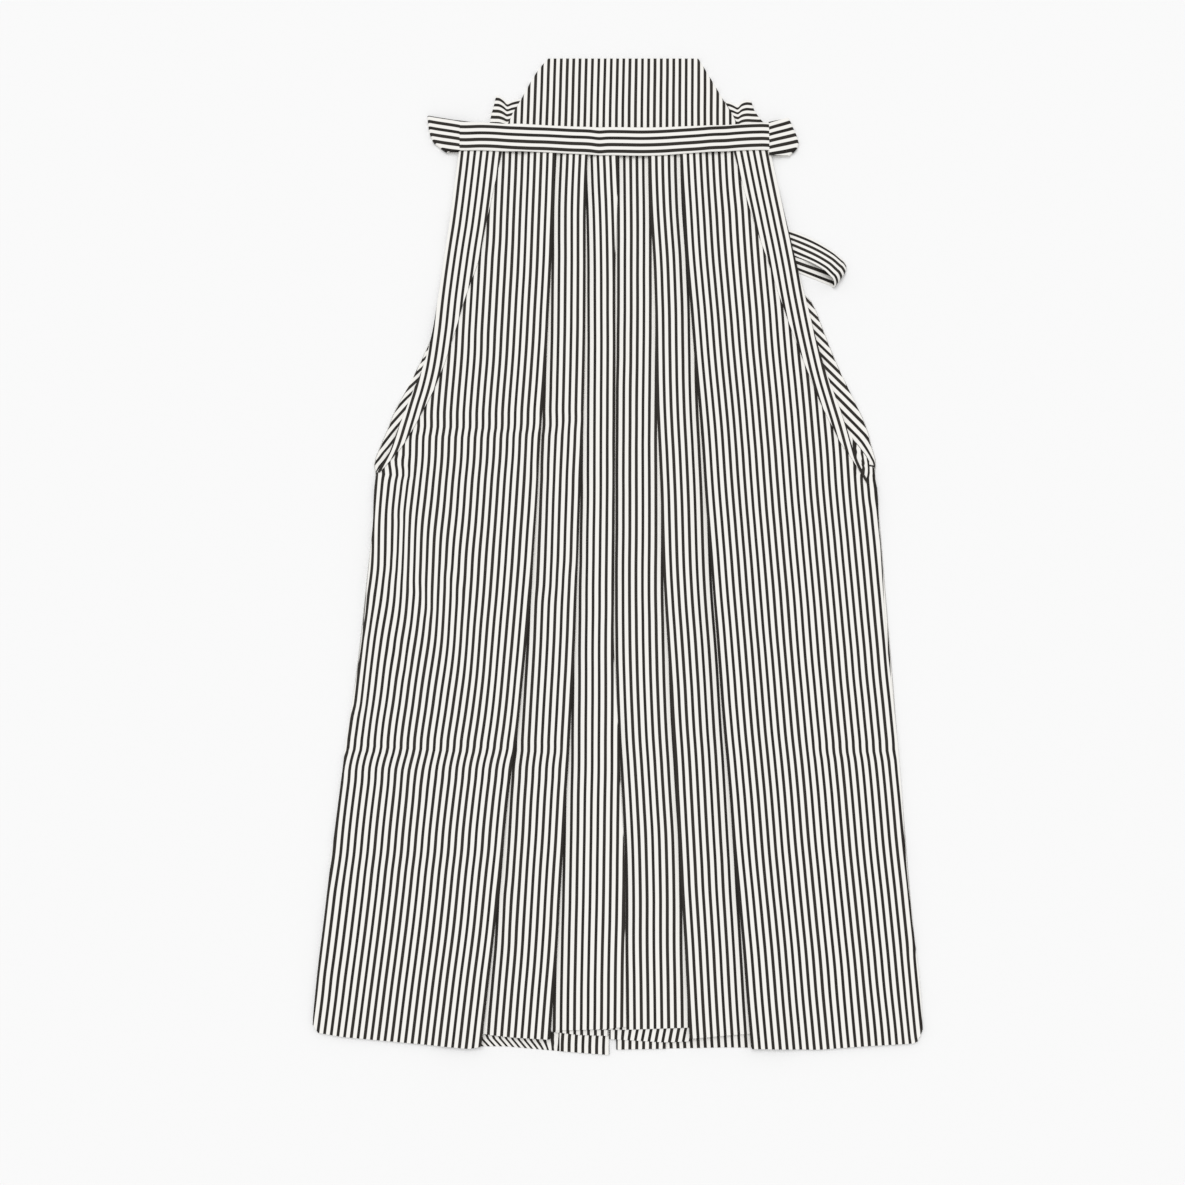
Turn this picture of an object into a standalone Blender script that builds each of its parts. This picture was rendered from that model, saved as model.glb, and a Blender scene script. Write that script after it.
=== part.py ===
"""Hakama trousers, laid flat with the front upwards.

Frame: metres, +Z up.  The garment lies on z = 0, centred on the origin, with the waist
towards +Y and the hem towards -Y.  -X is the wearer's right side, +X the wearer's left.

Every cloth piece is an open surface that Solidify turns into a wall.  A surface is worked
out from sections across the garment: a section is a path of stations, and each station
gives x and z for a distance s below the waistband's top edge.  Lengths are millimetres
up to the last step, which makes them metres.
"""

import math
from bisect import bisect_right
from collections import namedtuple

import bmesh
import bpy

MM = 0.001

# ---------------------------------------------------------------- driving dimensions (mm)
WAIST_TO_CENTRE = 439.0      # from s = 0 to the middle of the whole length
PANEL_TOP = 27.0             # s where the panels end, inside the waistband
CROTCH = 560.0               # s where the two legs part
CLOTH = 1.0                  # wall of a single layer of cloth
LAYER = 1.3                  # from one layer to the next: the wall and 0.3 mm of clearance
UNDERLAP = 0.45              # a pleat's hidden depth, as a share of the panel beside it
RAMP = 22.0                  # width over which a side panel comes down off its pleat
FACING = 22.0                # cloth turned in along the side openings and side seams
BACK_PLEAT = 48.0            # depth of the pleat at the middle of each back panel

BACK_Z = 0.5                 # middle of the wall of the panels that lie on the surface
INNER_Z = BACK_Z + 2 * LAYER
FRONT_SIDE_Z = BACK_Z + 2 * LAYER
FRONT_MIDDLE_Z = BACK_Z + 3 * LAYER
MIDDLE_HALF = 74.0           # half width of the zone that lies over the inner leg layers
MIDDLE_EDGE = 100.0          # where the front is down at its side height again

BOARD_THICKNESS = 4.0
BOARD_TOP = -73.0
BOARD_BOTTOM = 25.0
BAND_THICKNESS = 2.0
BAND_STEP = 26.4             # s where the waistband's back layer ends above the panels
TIE_THICKNESS = 2.0
STUB_THICKNESS = 1.6

# ---------------------------------------------------------------- sections, one row each
# x of every fold and edge of the front.  Folds a, b and c face the wearer's left and
# folds d and e the wearer's right, so that all five pleats look to the middle.
FrontRow = namedtuple("FrontRow", "s outer_r fold_a fold_b fold_c fold_d fold_e outer_l")
FRONT = [
    FrontRow(27, -163, -62.5, -28.5, 3, 34.5, 67.5, 161),
    FrontRow(90, -171, -64.5, -31, 2, 35.5, 69.5, 174),
    FrontRow(150, -178, -66.5, -31, 0, 39, 73, 187),
    FrontRow(200, -185, -69, -31.5, -0.5, 40.5, 76.5, 198),
    FrontRow(250, -193, -71, -32, -0.5, 40.5, 80, 210),
    FrontRow(300, -211.5, -74.5, -33, -1, 41, 84, 226),
    FrontRow(320, -218.5, -75.8, -33.5, -1, 41.8, 85.5, 232.5),
    FrontRow(340, -226, -77, -34, -1, 42.5, 87, 242),
    FrontRow(360, -233.5, -77.8, -34.8, -1, 43.3, 87.8, 255),
    FrontRow(375, -243.5, -78.5, -35.5, -1, 44, 88.5, 263),
    FrontRow(390, -245, -79.3, -36, -1.1, 44.5, 89.5, 264.5),
    FrontRow(430, -246, -81.5, -37.5, -1.5, 46, 92, 265.5),
    FrontRow(490, -250, -85.5, -39.5, -2.5, 47.5, 96.5, 267),
    FrontRow(560, -256, -91, -42, -2, 51, 101, 271),
    FrontRow(630, -266, -97.5, -45.5, 1, 54.5, 105.5, 277),
    FrontRow(700, -274, -106.5, -50, 4, 58.5, 111, 281),
    FrontRow(765, -280, -113, -53.5, 7.5, 61.5, 115, 283),
    FrontRow(830, -286, -119, -57.5, 8, 64.5, 120.5, 286),
    FrontRow(890, -291, -125.5, -61, 8, 67.5, 125, 289),
    FrontRow(950, -293, -132, -65.5, 9, 70, 129, 292),
]

# x of the edges of the narrow fold that lies on each side of the front.
FoldRow = namedtuple("FoldRow", "s outer inner")
FOLD_RIGHT = [
    FoldRow(PANEL_TOP, -163, -118),
    FoldRow(90, -171, -131),
    FoldRow(150, -178, -143),
    FoldRow(200, -185, -159),
    FoldRow(250, -193, -172),
    FoldRow(300, -211.5, -192),
    FoldRow(321, -219, -201),
    FoldRow(338, -225.5, -212),
    FoldRow(351, -229.5, -219.5),
    FoldRow(360, -233.5, -226.5),
    FoldRow(367, -238, -232),
    FoldRow(375, -243, -239.5),
]
FOLD_LEFT = [
    FoldRow(PANEL_TOP, 161, 122),
    FoldRow(90, 174, 139),
    FoldRow(150, 187, 157),
    FoldRow(200, 198, 172),
    FoldRow(250, 210, 190),
    FoldRow(300, 225.5, 208),
    FoldRow(323, 233, 218.5),
    FoldRow(333, 235, 223.5),
    FoldRow(345, 238, 229),
    FoldRow(355, 241.5, 235.5),
    FoldRow(365, 246, 241),
    FoldRow(376, 252, 247.5),
    FoldRow(388, 258.5, 255),
]

# x of the side edges of the back panels and of the folds at the middle of the back.
BackRow = namedtuple("BackRow", "s edge_r fold_r fold_l edge_l")
BACK = [
    BackRow(26, -118, -9, -7, 136),
    BackRow(90, -136, -9, -7, 148),
    BackRow(150, -158, -9, -7, 163),
    BackRow(175, -168, -9, -7, 175),
    BackRow(200, -178, -9, -6, 200),
    BackRow(250, -198, -8, -6, 223),
    BackRow(300, -222.5, -8, -5, 245),
    BackRow(320, -230.5, -8, -5, 253.5),
    BackRow(340, -238, -8, -5, 259.5),
    BackRow(355, -243.5, -8, -5, 263),
    BackRow(366, -247, -8, -4, 265.5),
    BackRow(376, -245, -8, -4, 264),
    BackRow(390, -245, -8, -4, 265),
    BackRow(430, -247, -8, -4, 268),
    BackRow(490, -252, -8, -3, 271),
    BackRow(560, -258, -8, -3, 275),
    BackRow(700, -274, -8, -2, 282),
    BackRow(830, -287, -8, -2, 290),
    BackRow(950, -294, -8, -1, 293.4),
]

# x of the inner leg layers, which show only between the hems.
InnerRow = namedtuple("InnerRow", "s outer_r middle_r middle_l outer_l")
INNER = [
    InnerRow(560, -42, -6, -5, 48),
    InnerRow(700, -50, -7, -6, 58),
    InnerRow(830, -58, -8, -7, 66),
    InnerRow(950, -65, -9, -8, 72),
]

# s of each hem at x.
HemPoint = namedtuple("HemPoint", "x s")
HEM_SIDE_R = [HemPoint(-294, 922), HemPoint(-289, 930), HemPoint(-266, 934),
              HemPoint(-142, 945), HemPoint(-132, 943)]
HEM_MIDDLE_R = [HemPoint(-130, 934), HemPoint(-66, 935)]
HEM_CENTRE_R = [HemPoint(-65, 928), HemPoint(-10, 926), HemPoint(8, 924)]
HEM_CENTRE_L = [HemPoint(9, 927), HemPoint(70, 925)]
HEM_MIDDLE_L = [HemPoint(72, 935), HemPoint(110, 932), HemPoint(129, 931)]
HEM_SIDE_L = [HemPoint(131, 945), HemPoint(193, 946), HemPoint(235, 943),
              HemPoint(289, 939), HemPoint(294, 927)]
HEM_INNER_R = [HemPoint(-65, 929), HemPoint(-38, 932), HemPoint(-9, 933)]
HEM_INNER_L = [HemPoint(-8, 936), HemPoint(12, 937), HemPoint(45, 939), HemPoint(72, 938)]
HEM_BACK_R = [HemPoint(-294, 921), HemPoint(-289, 929), HemPoint(-266, 933),
              HemPoint(-142, 943), HemPoint(-108, 943), HemPoint(-62, 947),
              HemPoint(-23, 950), HemPoint(-9, 951)]
HEM_BACK_L = [HemPoint(-1, 946), HemPoint(105, 944), HemPoint(193, 945), HemPoint(235, 942),
              HemPoint(289, 938), HemPoint(294, 926)]

# The waistband's edges, which sag a little in the middle.
BandRow = namedtuple("BandRow", "x top bottom")
BAND = [
    BandRow(-163, -1, 31),
    BandRow(-121, 0.5, 31.5),
    BandRow(-73, 3.3, 33.4),
    BandRow(-26, 5.3, 35.5),
    BandRow(28, 5.8, 36.7),
    BandRow(68, 4.8, 35.1),
    BandRow(110, 2.8, 32),
    BandRow(147, 0.5, 30.4),
    BandRow(163.5, 0.5, 31.5),
]

BoardRow = namedtuple("BoardRow", "s left right")
BOARD = [
    BoardRow(BOARD_TOP, -71, 88),
    BoardRow(-66, -77, 92),
    BoardRow(-30, -98, 112),
    BoardRow(0, -113, 128),
    BoardRow(BOARD_BOTTOM, -116, 134),
]

# Rows of vertices down a front panel and down a back panel, as shares of its length.
FRONT_SHARES = [0.0, 0.07, 0.135, 0.19, 0.245, 0.3, 0.335, 0.365, 0.384, 0.4, 0.44, 0.51,
                0.58, 0.66, 0.73, 0.8, 0.87, 0.935, 1.0]
BACK_SHARES = [0.0, 0.08, 0.155, 0.19, 0.245, 0.3, 0.33, 0.355, 0.37, 0.382, 0.4, 0.44,
               0.55, 0.7, 0.85, 1.0]
SIDE_FOLD_ROWS = 20

CREAM = (0.80, 0.77, 0.71, 1.0)
CREAM_SHADE = (0.70, 0.67, 0.61, 1.0)


# ---------------------------------------------------------------- curves through tables
def between(rows, key, value, at):
    """A smooth curve through the column `value` of rows that are sorted by `key`."""
    keys = [getattr(row, key) for row in rows]
    values = [getattr(row, value) for row in rows]
    if at <= keys[0]:
        return values[0]
    if at >= keys[-1]:
        return values[-1]
    low = bisect_right(keys, at) - 1
    high = low + 1
    span = keys[high] - keys[low]

    def slope(index):
        before = max(index - 1, 0)
        after = min(index + 1, len(keys) - 1)
        return (values[after] - values[before]) / (keys[after] - keys[before])

    t = (at - keys[low]) / span
    start_share = 2 * t ** 3 - 3 * t ** 2 + 1
    start_pull = t ** 3 - 2 * t ** 2 + t
    end_pull = t ** 3 - t ** 2
    return (values[low] * start_share + values[high] * (1 - start_share)
            + span * (slope(low) * start_pull + slope(high) * end_pull))


def edge(rows, column):
    """The column of a table as a function of s."""
    return lambda s: between(rows, "s", column, s)


def hem_at(points, x):
    """The hem's s at x, straight between its points."""
    x = min(max(x, points[0].x), points[-1].x)
    for first, second in zip(points, points[1:]):
        if x <= second.x:
            share = (x - first.x) / (second.x - first.x)
            return first.s + share * (second.s - first.s)
    return points[-1].s


def ease(start, end, value):
    """0 before start and 1 after end, with a smooth rise between."""
    t = min(max((value - start) / (end - start), 0.0), 1.0)
    return t * t * (3 - 2 * t)


# ---------------------------------------------------------------- sections of folded cloth
def run(start, end, count, height, skip_first=False):
    """Stations in a straight run from x start(s) to x end(s), at z height(x, s)."""
    stations = []
    for index in range(1 if skip_first else 0, count + 1):
        def station(s, share=index / count):
            x = start(s) + share * (end(s) - start(s))
            return x, height(x, s)
        stations.append(station)
    return stations


def turn(fold, side, z_from, z_to, steps=4):
    """Stations round a fold whose outermost line is x fold(s), between two heights.

    `side` is +1 where the fold faces +X.  The first and last point of the half circle
    belong to the runs that it joins, so only those between are given.
    """
    stations = []
    for index in range(1, steps):
        def station(s, angle=math.pi * index / steps):
            centre = fold(s) - side * (LAYER + CLOTH) / 2
            low, high = z_from(centre, s), z_to(centre, s)
            radius = abs(high - low) / 2
            x = centre + side * radius * math.sin(angle)
            return x, (low + high) / 2 + (low - high) / 2 * math.cos(angle)
        stations.append(station)
    return stations


def inside(fold, side):
    """The x where the flat cloth ends and the half circle of a fold begins."""
    return lambda s: fold(s) - side * (LAYER + CLOTH) / 2


def shifted(line, distance):
    """A line moved along X."""
    return lambda s: line(s) + distance


# ---------------------------------------------------------------- heights
def front_base(x, s):
    """Height of the front's lowest layer, over the back and the inner leg layers."""
    rise = 1 - ease(MIDDLE_HALF, MIDDLE_EDGE, abs(x))
    return FRONT_SIDE_Z + rise * (FRONT_MIDDLE_Z - FRONT_SIDE_Z)


def front_layer(number):
    """Height of a layer of the front, counted up from its lowest one."""
    return lambda x, s: front_base(x, s) + number * LAYER


def climbing(low_end, high_end):
    """Height of a panel that climbs two layers between the lines low_end and high_end."""
    def height(x, s):
        low, high = low_end(s), high_end(s)
        share = ease(min(low, high), max(low, high), x)
        if low > high:
            share = 1 - share
        return front_base(x, s) + share * 2 * LAYER
    return height


def level(z):
    """A constant height."""
    return lambda x, s: z


def band_underside(x):
    """Underside of the waistband where it lies on the tops of the panels."""
    side = FRONT_SIDE_Z + LAYER + CLOTH / 2 + 0.3
    middle = FRONT_MIDDLE_Z + 2 * LAYER + CLOTH / 2 + 0.3
    return middle + (side - middle) * ease(95.0, 120.0, abs(x))


# ---------------------------------------------------------------- meshes
def new_object(name, mesh, material, collection):
    """Put a mesh in the collection as an object with its own material."""
    for polygon in mesh.polygons:
        polygon.use_smooth = True
    mesh.materials.append(material)
    part = bpy.data.objects.new(name, mesh)
    collection.objects.link(part)
    return part


def paint(name, color, roughness=0.7):
    """A plain Principled material."""
    material = bpy.data.materials.new(name)
    material.use_nodes = True
    shader = material.node_tree.nodes["Principled BSDF"]
    shader.inputs["Base Color"].default_value = color
    shader.inputs["Roughness"].default_value = roughness
    shader.inputs["Metallic"].default_value = 0.0
    return material


def surface(name, rows, material, collection, wall=CLOTH):
    """A sheet through rows of (x, s, z) points, made into a wall by Solidify."""
    shape = bmesh.new()
    grid = [[shape.verts.new((x * MM, (WAIST_TO_CENTRE - s) * MM, z * MM))
             for x, s, z in row] for row in rows]
    for upper, lower in zip(grid, grid[1:]):
        for column in range(len(upper) - 1):
            shape.faces.new((upper[column], lower[column],
                             lower[column + 1], upper[column + 1]))
    bmesh.ops.recalc_face_normals(shape, faces=shape.faces)
    mesh = bpy.data.meshes.new(name)
    shape.to_mesh(mesh)
    shape.free()
    part = new_object(name, mesh, material, collection)
    thicken = part.modifiers.new("wall", "SOLIDIFY")
    thicken.thickness = wall * MM
    thicken.offset = 0.0
    thicken.use_even_offset = True
    return part


def panel(name, stations, hems, shares, top, material, collection):
    """A folded panel from its stations, each followed down to its own hem."""
    rows = []
    for share in shares:
        row = []
        for station, hem in zip(stations, hems):
            s = top + share * (hem - top)
            x, z = station(s)
            row.append((x, s, z))
        rows.append(row)
    return surface(name, rows, material, collection)


def hems_along(stations, spans):
    """A hem for each station; spans pairs a number of stations with its hem points.

    A span without points is hidden, and is spread between its neighbours.
    """
    hems = []
    for count, points in spans:
        for station in stations[len(hems):len(hems) + count]:
            hems.append(hem_at(points, station(900.0)[0]) if points else None)
    known = [index for index, hem in enumerate(hems) if hem is not None]
    for index, hem in enumerate(hems):
        if hem is None:
            before = max((k for k in known if k < index), default=known[0])
            after = min((k for k in known if k > index), default=known[-1])
            share = 0.5 if before == after else (index - before) / (after - before)
            hems[index] = hems[before] + share * (hems[after] - hems[before])
    return hems


# ---------------------------------------------------------------- the front
def underlap(first, second):
    """Hidden depth of the pleats beside the panel between two fold lines."""
    return lambda s: UNDERLAP * (second(s) - first(s))


def front_leg_right(material, collection):
    """Side panel, pleat a, second panel, pleat b, middle panel and pleat c."""
    outer, fold_a, fold_b, fold_c = (edge(FRONT, column) for column in
                                     ("outer_r", "fold_a", "fold_b", "fold_c"))
    depth_ab = underlap(fold_a, fold_b)
    depth_c = underlap(fold_b, fold_c)
    hidden_a = lambda s: fold_a(s) - depth_ab(s)
    hidden_b = lambda s: fold_b(s) - depth_ab(s)
    hidden_c = lambda s: fold_c(s) - depth_c(s)
    top, middle, low = front_layer(2), front_layer(1), front_layer(0)

    stations = []
    spans = []

    def add(new, points):
        stations.extend(new)
        spans.append((len(new), points))

    crest = shifted(hidden_a, -3.0)
    foot = shifted(crest, -RAMP)
    climb = climbing(foot, crest)
    add(run(outer, foot, 3, low), HEM_SIDE_R)
    add(run(foot, crest, 5, climb, True), HEM_SIDE_R)
    add(run(crest, inside(fold_a, 1), 1, top, True), HEM_SIDE_R)
    for fold, hidden, next_hidden, points in (
            (fold_a, hidden_a, hidden_b, HEM_MIDDLE_R),
            (fold_b, hidden_b, hidden_c, HEM_CENTRE_R)):
        crest = shifted(next_hidden, -3.0)
        foot = shifted(fold, 1.0)
        climb = climbing(foot, crest)
        next_fold = fold_b if fold is fold_a else fold_c
        add(turn(fold, 1, top, middle), None)
        add(run(inside(fold, 1), inside(hidden, -1), 2, middle), None)
        add(turn(hidden, -1, middle, low), None)
        add(run(inside(hidden, -1), foot, 2, low), points)
        add(run(foot, crest, 5, climb, True), points)
        add(run(crest, inside(next_fold, 1), 1, top, True), points)
    add(turn(fold_c, 1, top, middle), None)
    add(run(inside(fold_c, 1), hidden_c, 2, middle), HEM_CENTRE_R)
    hems = hems_along(stations, spans)
    panel("front_leg_right", stations, hems, FRONT_SHARES, PANEL_TOP, material, collection)


def front_leg_left(material, collection):
    """Middle panel, pleat d, fourth panel, pleat e and side panel."""
    fold_c, fold_d, fold_e, outer = (edge(FRONT, column) for column in
                                     ("fold_c", "fold_d", "fold_e", "outer_l"))
    depth_c = underlap(edge(FRONT, "fold_b"), fold_c)
    depth_de = underlap(fold_d, fold_e)
    start = lambda s: fold_c(s) - depth_c(s)
    hidden_d = lambda s: fold_d(s) + depth_de(s)
    hidden_e = lambda s: fold_e(s) + depth_de(s)
    top, middle, low = front_layer(2), front_layer(1), front_layer(0)

    stations = []
    spans = []

    def add(new, points):
        stations.extend(new)
        spans.append((len(new), points))

    add(run(start, inside(hidden_d, 1), 4, low), HEM_CENTRE_L)
    add(turn(hidden_d, 1, low, middle), None)
    add(run(inside(hidden_d, 1), inside(fold_d, -1), 2, middle), None)
    add(turn(fold_d, -1, middle, top), None)
    crest = shifted(hidden_d, 3.0)
    foot = shifted(fold_e, -1.0)
    add(run(inside(fold_d, -1), crest, 1, top), HEM_MIDDLE_L)
    add(run(crest, foot, 5, climbing(foot, crest), True), HEM_MIDDLE_L)
    add(run(foot, inside(hidden_e, 1), 2, low, True), HEM_MIDDLE_L)
    add(turn(hidden_e, 1, low, middle), None)
    add(run(inside(hidden_e, 1), inside(fold_e, -1), 2, middle), None)
    add(turn(fold_e, -1, middle, top), None)
    crest = shifted(hidden_e, 3.0)
    foot = shifted(crest, RAMP)
    add(run(inside(fold_e, -1), crest, 1, top), HEM_SIDE_L)
    add(run(crest, foot, 5, climbing(foot, crest), True), HEM_SIDE_L)
    add(run(foot, outer, 3, low, True), HEM_SIDE_L)
    hems = hems_along(stations, spans)
    panel("front_leg_left", stations, hems, FRONT_SHARES, PANEL_TOP, material, collection)


def side_fold(name, table, material, collection):
    """The narrow fold that lies on the side panel from the waistband to the opening's end."""
    outer, inner = edge(table, "outer"), edge(table, "inner")
    height = front_base(outer(table[-1].s), table[-1].s) + LAYER
    columns = 4
    rows = []
    for index in range(SIDE_FOLD_ROWS + 1):
        s = PANEL_TOP + (table[-1].s - PANEL_TOP) * index / SIDE_FOLD_ROWS
        left, right = sorted((outer(s), inner(s)))
        rows.append([(left + (right - left) * column / columns, s, height)
                     for column in range(columns + 1)])
    surface(name, rows, material, collection)


# ---------------------------------------------------------------- the back and inner legs
def back_leg(name, side, edge_line, fold_line, hem_points, material, collection):
    """Facing, side edge, back panel, fold at the middle of the back, and its pleat.

    side is -1 on the wearer's right and +1 on the left.
    """
    low, high = level(BACK_Z), level(BACK_Z + LAYER)
    stations = []
    spans = []

    def add(new, points):
        stations.extend(new)
        spans.append((len(new), points))

    add(run(shifted(edge_line, -side * FACING), inside(edge_line, side), 2, high), hem_points)
    add(turn(edge_line, side, high, low), None)
    add(run(inside(edge_line, side), inside(fold_line, -side), 6, low), hem_points)
    add(turn(fold_line, -side, low, high), None)
    add(run(inside(fold_line, -side), shifted(fold_line, side * BACK_PLEAT), 3, high),
        hem_points)
    hems = hems_along(stations, spans)
    panel(name, stations, hems, BACK_SHARES, PANEL_TOP - 1.0, material, collection)


def inner_leg(name, outer, middle, hem_points, material, collection):
    """The inner half of a leg, between the back and the front, from the crotch down."""
    stations = run(outer, middle, 4, level(INNER_Z))
    hems = hems_along(stations, [(len(stations), hem_points)])
    panel(name, stations, hems, [0.0, 0.33, 0.67, 1.0], CROTCH, material, collection)


# ---------------------------------------------------------------- board, band and ties
def back_board(material, collection):
    """The stiff board at the back of the waist."""
    count = 6
    rows = [[(row.left + (row.right - row.left) * index / count, row.s, BOARD_THICKNESS / 2)
             for index in range(count + 1)] for row in BOARD]
    board = surface("back_board", rows, material, collection, BOARD_THICKNESS)
    rounding = board.modifiers.new("rounded edge", "BEVEL")
    rounding.width = 1.2 * MM
    rounding.segments = 2
    rounding.limit_method = "ANGLE"
    rounding.angle_limit = math.radians(50)


def waistband(material, collection):
    """The front waistband: a ring of cloth round the tops of the panels, lofted along X."""
    columns = 27
    pad_z = BOARD_THICKNESS + 0.3
    shape = bmesh.new()
    rings = []
    for index in range(columns):
        x = BAND[0].x + (BAND[-1].x - BAND[0].x) * index / (columns - 1)
        top = between(BAND, "x", "top", x)
        bottom = between(BAND, "x", "bottom", x)
        under = band_underside(x)
        over = under + BAND_THICKNESS
        middle = (top + bottom) / 2
        profile = [(top + 0.4, pad_z), (BAND_STEP, pad_z), (BAND_STEP, under),
                   (bottom - 0.5, under), (bottom, under + 0.7), (bottom - 0.4, over - 0.4),
                   (bottom - 2.0, over), (middle, over), (top + 2.5, over - 0.3),
                   (top, (pad_z + over) / 2)]
        rings.append([shape.verts.new((x * MM, (WAIST_TO_CENTRE - s) * MM, z * MM))
                      for s, z in profile])
    for first, second in zip(rings, rings[1:]):
        for corner in range(len(first)):
            following = (corner + 1) % len(first)
            shape.faces.new((first[corner], second[corner],
                             second[following], first[following]))
    shape.faces.new(rings[0])
    shape.faces.new(list(reversed(rings[-1])))
    bmesh.ops.recalc_face_normals(shape, faces=shape.faces)
    mesh = bpy.data.meshes.new("front_band")
    shape.to_mesh(mesh)
    shape.free()
    new_object("front_band", mesh, material, collection)


# The end of a front tie: where it leaves the band, its fold line and its hidden end.
TieEnd = namedtuple("TieEnd", "name side crease folds top_in top_out bottom_in bottom_out hidden")
TIE_ENDS = [
    TieEnd("front_tie_right", -1, -163.4, (-198, -197, -195, -190, -175), -1, -7, 31, 33, -141),
    TieEnd("front_tie_left", 1, 163.9, (183, 187, 191, 192, 182), 0, -5, 37, 38, 163),
]


def front_tie(tie, material, collection):
    """A front tie that passes the band's end, folds under and goes back in."""
    z_in = band_underside(tie.crease) + BAND_THICKNESS / 2
    z_over, z_under = 3.9, TIE_THICKNESS / 2 + 0.2
    radius = (z_over - z_under) / 2
    rows = []
    for index, fold in enumerate(tie.folds):
        share = index / (len(tie.folds) - 1)
        centre = fold - tie.side * (radius + TIE_THICKNESS / 2)
        s_in = tie.top_in + share * (tie.bottom_in - tie.top_in)
        s_out = tie.top_out + share * (tie.bottom_out - tie.top_out)
        row = []
        for step in range(4):
            t = step / 3
            row.append((tie.crease + t * (centre - tie.crease), s_in + t * (s_out - s_in),
                        z_in + (z_over - z_in) * ease(0.0, 1.0, t)))
        for step in range(1, 5):
            angle = math.pi * step / 4
            row.append((centre + tie.side * radius * math.sin(angle), s_out,
                        (z_over + z_under) / 2 + radius * math.cos(angle)))
        for step in range(1, 4):
            t = step / 3
            row.append((centre + t * (tie.hidden - centre), s_out + t * (s_in - s_out), z_under))
        rows.append(row)
    surface(tie.name, rows, material, collection, TIE_THICKNESS)


# The start of a back tie at the board's side: its top edge, which dips at a crease, and
# its fold at the outside.
EdgePoint = namedtuple("EdgePoint", "x s")
BackTie = namedtuple("BackTie", "name side column top_edge fold")
BACK_TIES = [
    BackTie("back_tie_right", -1, "left",
            [EdgePoint(-128, -30), EdgePoint(-121, -28.3), EdgePoint(-114, -23),
             EdgePoint(-105, -26.6), EdgePoint(-98, -29.5)],
            [EdgePoint(-127.5, -30), EdgePoint(-131, -12), EdgePoint(-137, 24)]),
    BackTie("back_tie_left", 1, "right",
            [EdgePoint(114, -27), EdgePoint(121, -24.8), EdgePoint(129, -21.4),
             EdgePoint(133, -25.2), EdgePoint(138, -27), EdgePoint(143.5, -25.8)],
            [EdgePoint(143.5, -26), EdgePoint(145.5, -18), EdgePoint(149.5, -10),
             EdgePoint(155, -3), EdgePoint(160, 5), EdgePoint(162, 24)]),
]


def back_tie(tie, material, collection):
    """The start of a back tie: it leaves the board's side, folds over and goes under the band."""
    z_under = STUB_THICKNESS / 2
    z_over = z_under + STUB_THICKNESS + 0.5
    radius = (z_over - z_under) / 2
    inset = tie.side * (radius + STUB_THICKNESS / 2)
    bottom = BOARD_BOTTOM - 1.0

    def ends(s):
        """x where the tie leaves the board and where its outer fold begins."""
        return (between(BOARD, "s", tie.column, s) + tie.side * 0.8,
                between(tie.fold, "s", "x", s) - inset)

    def place(across, down):
        """x and s at a share of the way across and a share of the way down."""
        start, fold = ends(tie.fold[0].s)
        top = between(tie.top_edge, "x", "s", start + across * (fold - start))
        start, fold = ends(tie.fold[0].s + down * (bottom - tie.fold[0].s))
        return start + across * (fold - start), top + down * (bottom - top)

    rows = []
    columns = 6
    for index in range(columns):
        down = index / (columns - 1)
        row = [(*place(step / columns, down), z_over) for step in range(columns + 1)]
        x, s = place(1.0, down)
        for step in range(1, 4):
            angle = math.pi * step / 4
            row.append((x + tie.side * radius * math.sin(angle), s,
                        (z_over + z_under) / 2 + radius * math.cos(angle)))
        row += [(*place(step / columns, down), z_under) for step in range(columns, -1, -1)]
        rows.append(row)
    surface(tie.name, rows, material, collection, STUB_THICKNESS)


# The tie that is folded out of the wearer's left side opening.  Each row is a line along
# the tie, from its edge that lies on the surface (lift 0) to its raised edge.
LoopRow = namedtuple("LoopRow", "in_x in_s fold_x fold_s lift out_x out_s")
LOOP = [
    LoopRow(176, 114, 237, 149, 0.0, 177, 131),
    LoopRow(176, 121, 240, 157, 3.5, 177, 138),
    LoopRow(177, 128, 238, 165, 7.0, 178, 145),
    LoopRow(177, 135, 232.5, 172, 9.5, 178, 152),
    LoopRow(178, 142, 226, 178, 10.5, 179, 159),
]
LOOP_WALL = 1.0


def side_tie(material, collection):
    """A tie that comes out of the side opening, stands up a little and folds back in."""
    z_under = LOOP_WALL / 2 + 0.12
    z_over = z_under + LOOP_WALL + 0.3
    rows = []
    for line in LOOP:
        row = []
        top_z = z_over + line.lift
        radius = (top_z - z_under) / 2
        bulge = min(radius, 3.0)
        centre = line.fold_x - bulge - LOOP_WALL / 2
        for step in range(7):
            t = step / 6
            row.append((line.in_x + t * (centre - line.in_x),
                        line.in_s + t * (line.fold_s - line.in_s) - 4.0 * math.sin(math.pi * t),
                        z_over + line.lift * ease(0.25, 1.0, t)))
        for step in range(1, 6):
            angle = math.pi * step / 6
            row.append((centre + bulge * math.sin(angle),
                        line.fold_s + 3.0 * (1 - math.cos(angle)) / 2,
                        (top_z + z_under) / 2 + radius * math.cos(angle)))
        for step in range(7):
            t = step / 6
            row.append((centre + t * (line.out_x - centre),
                        line.fold_s + 3.0 + t * (line.out_s - line.fold_s - 3.0), z_under))
        rows.append(row)
    surface("side_tie", rows, material, collection, LOOP_WALL)


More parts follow.
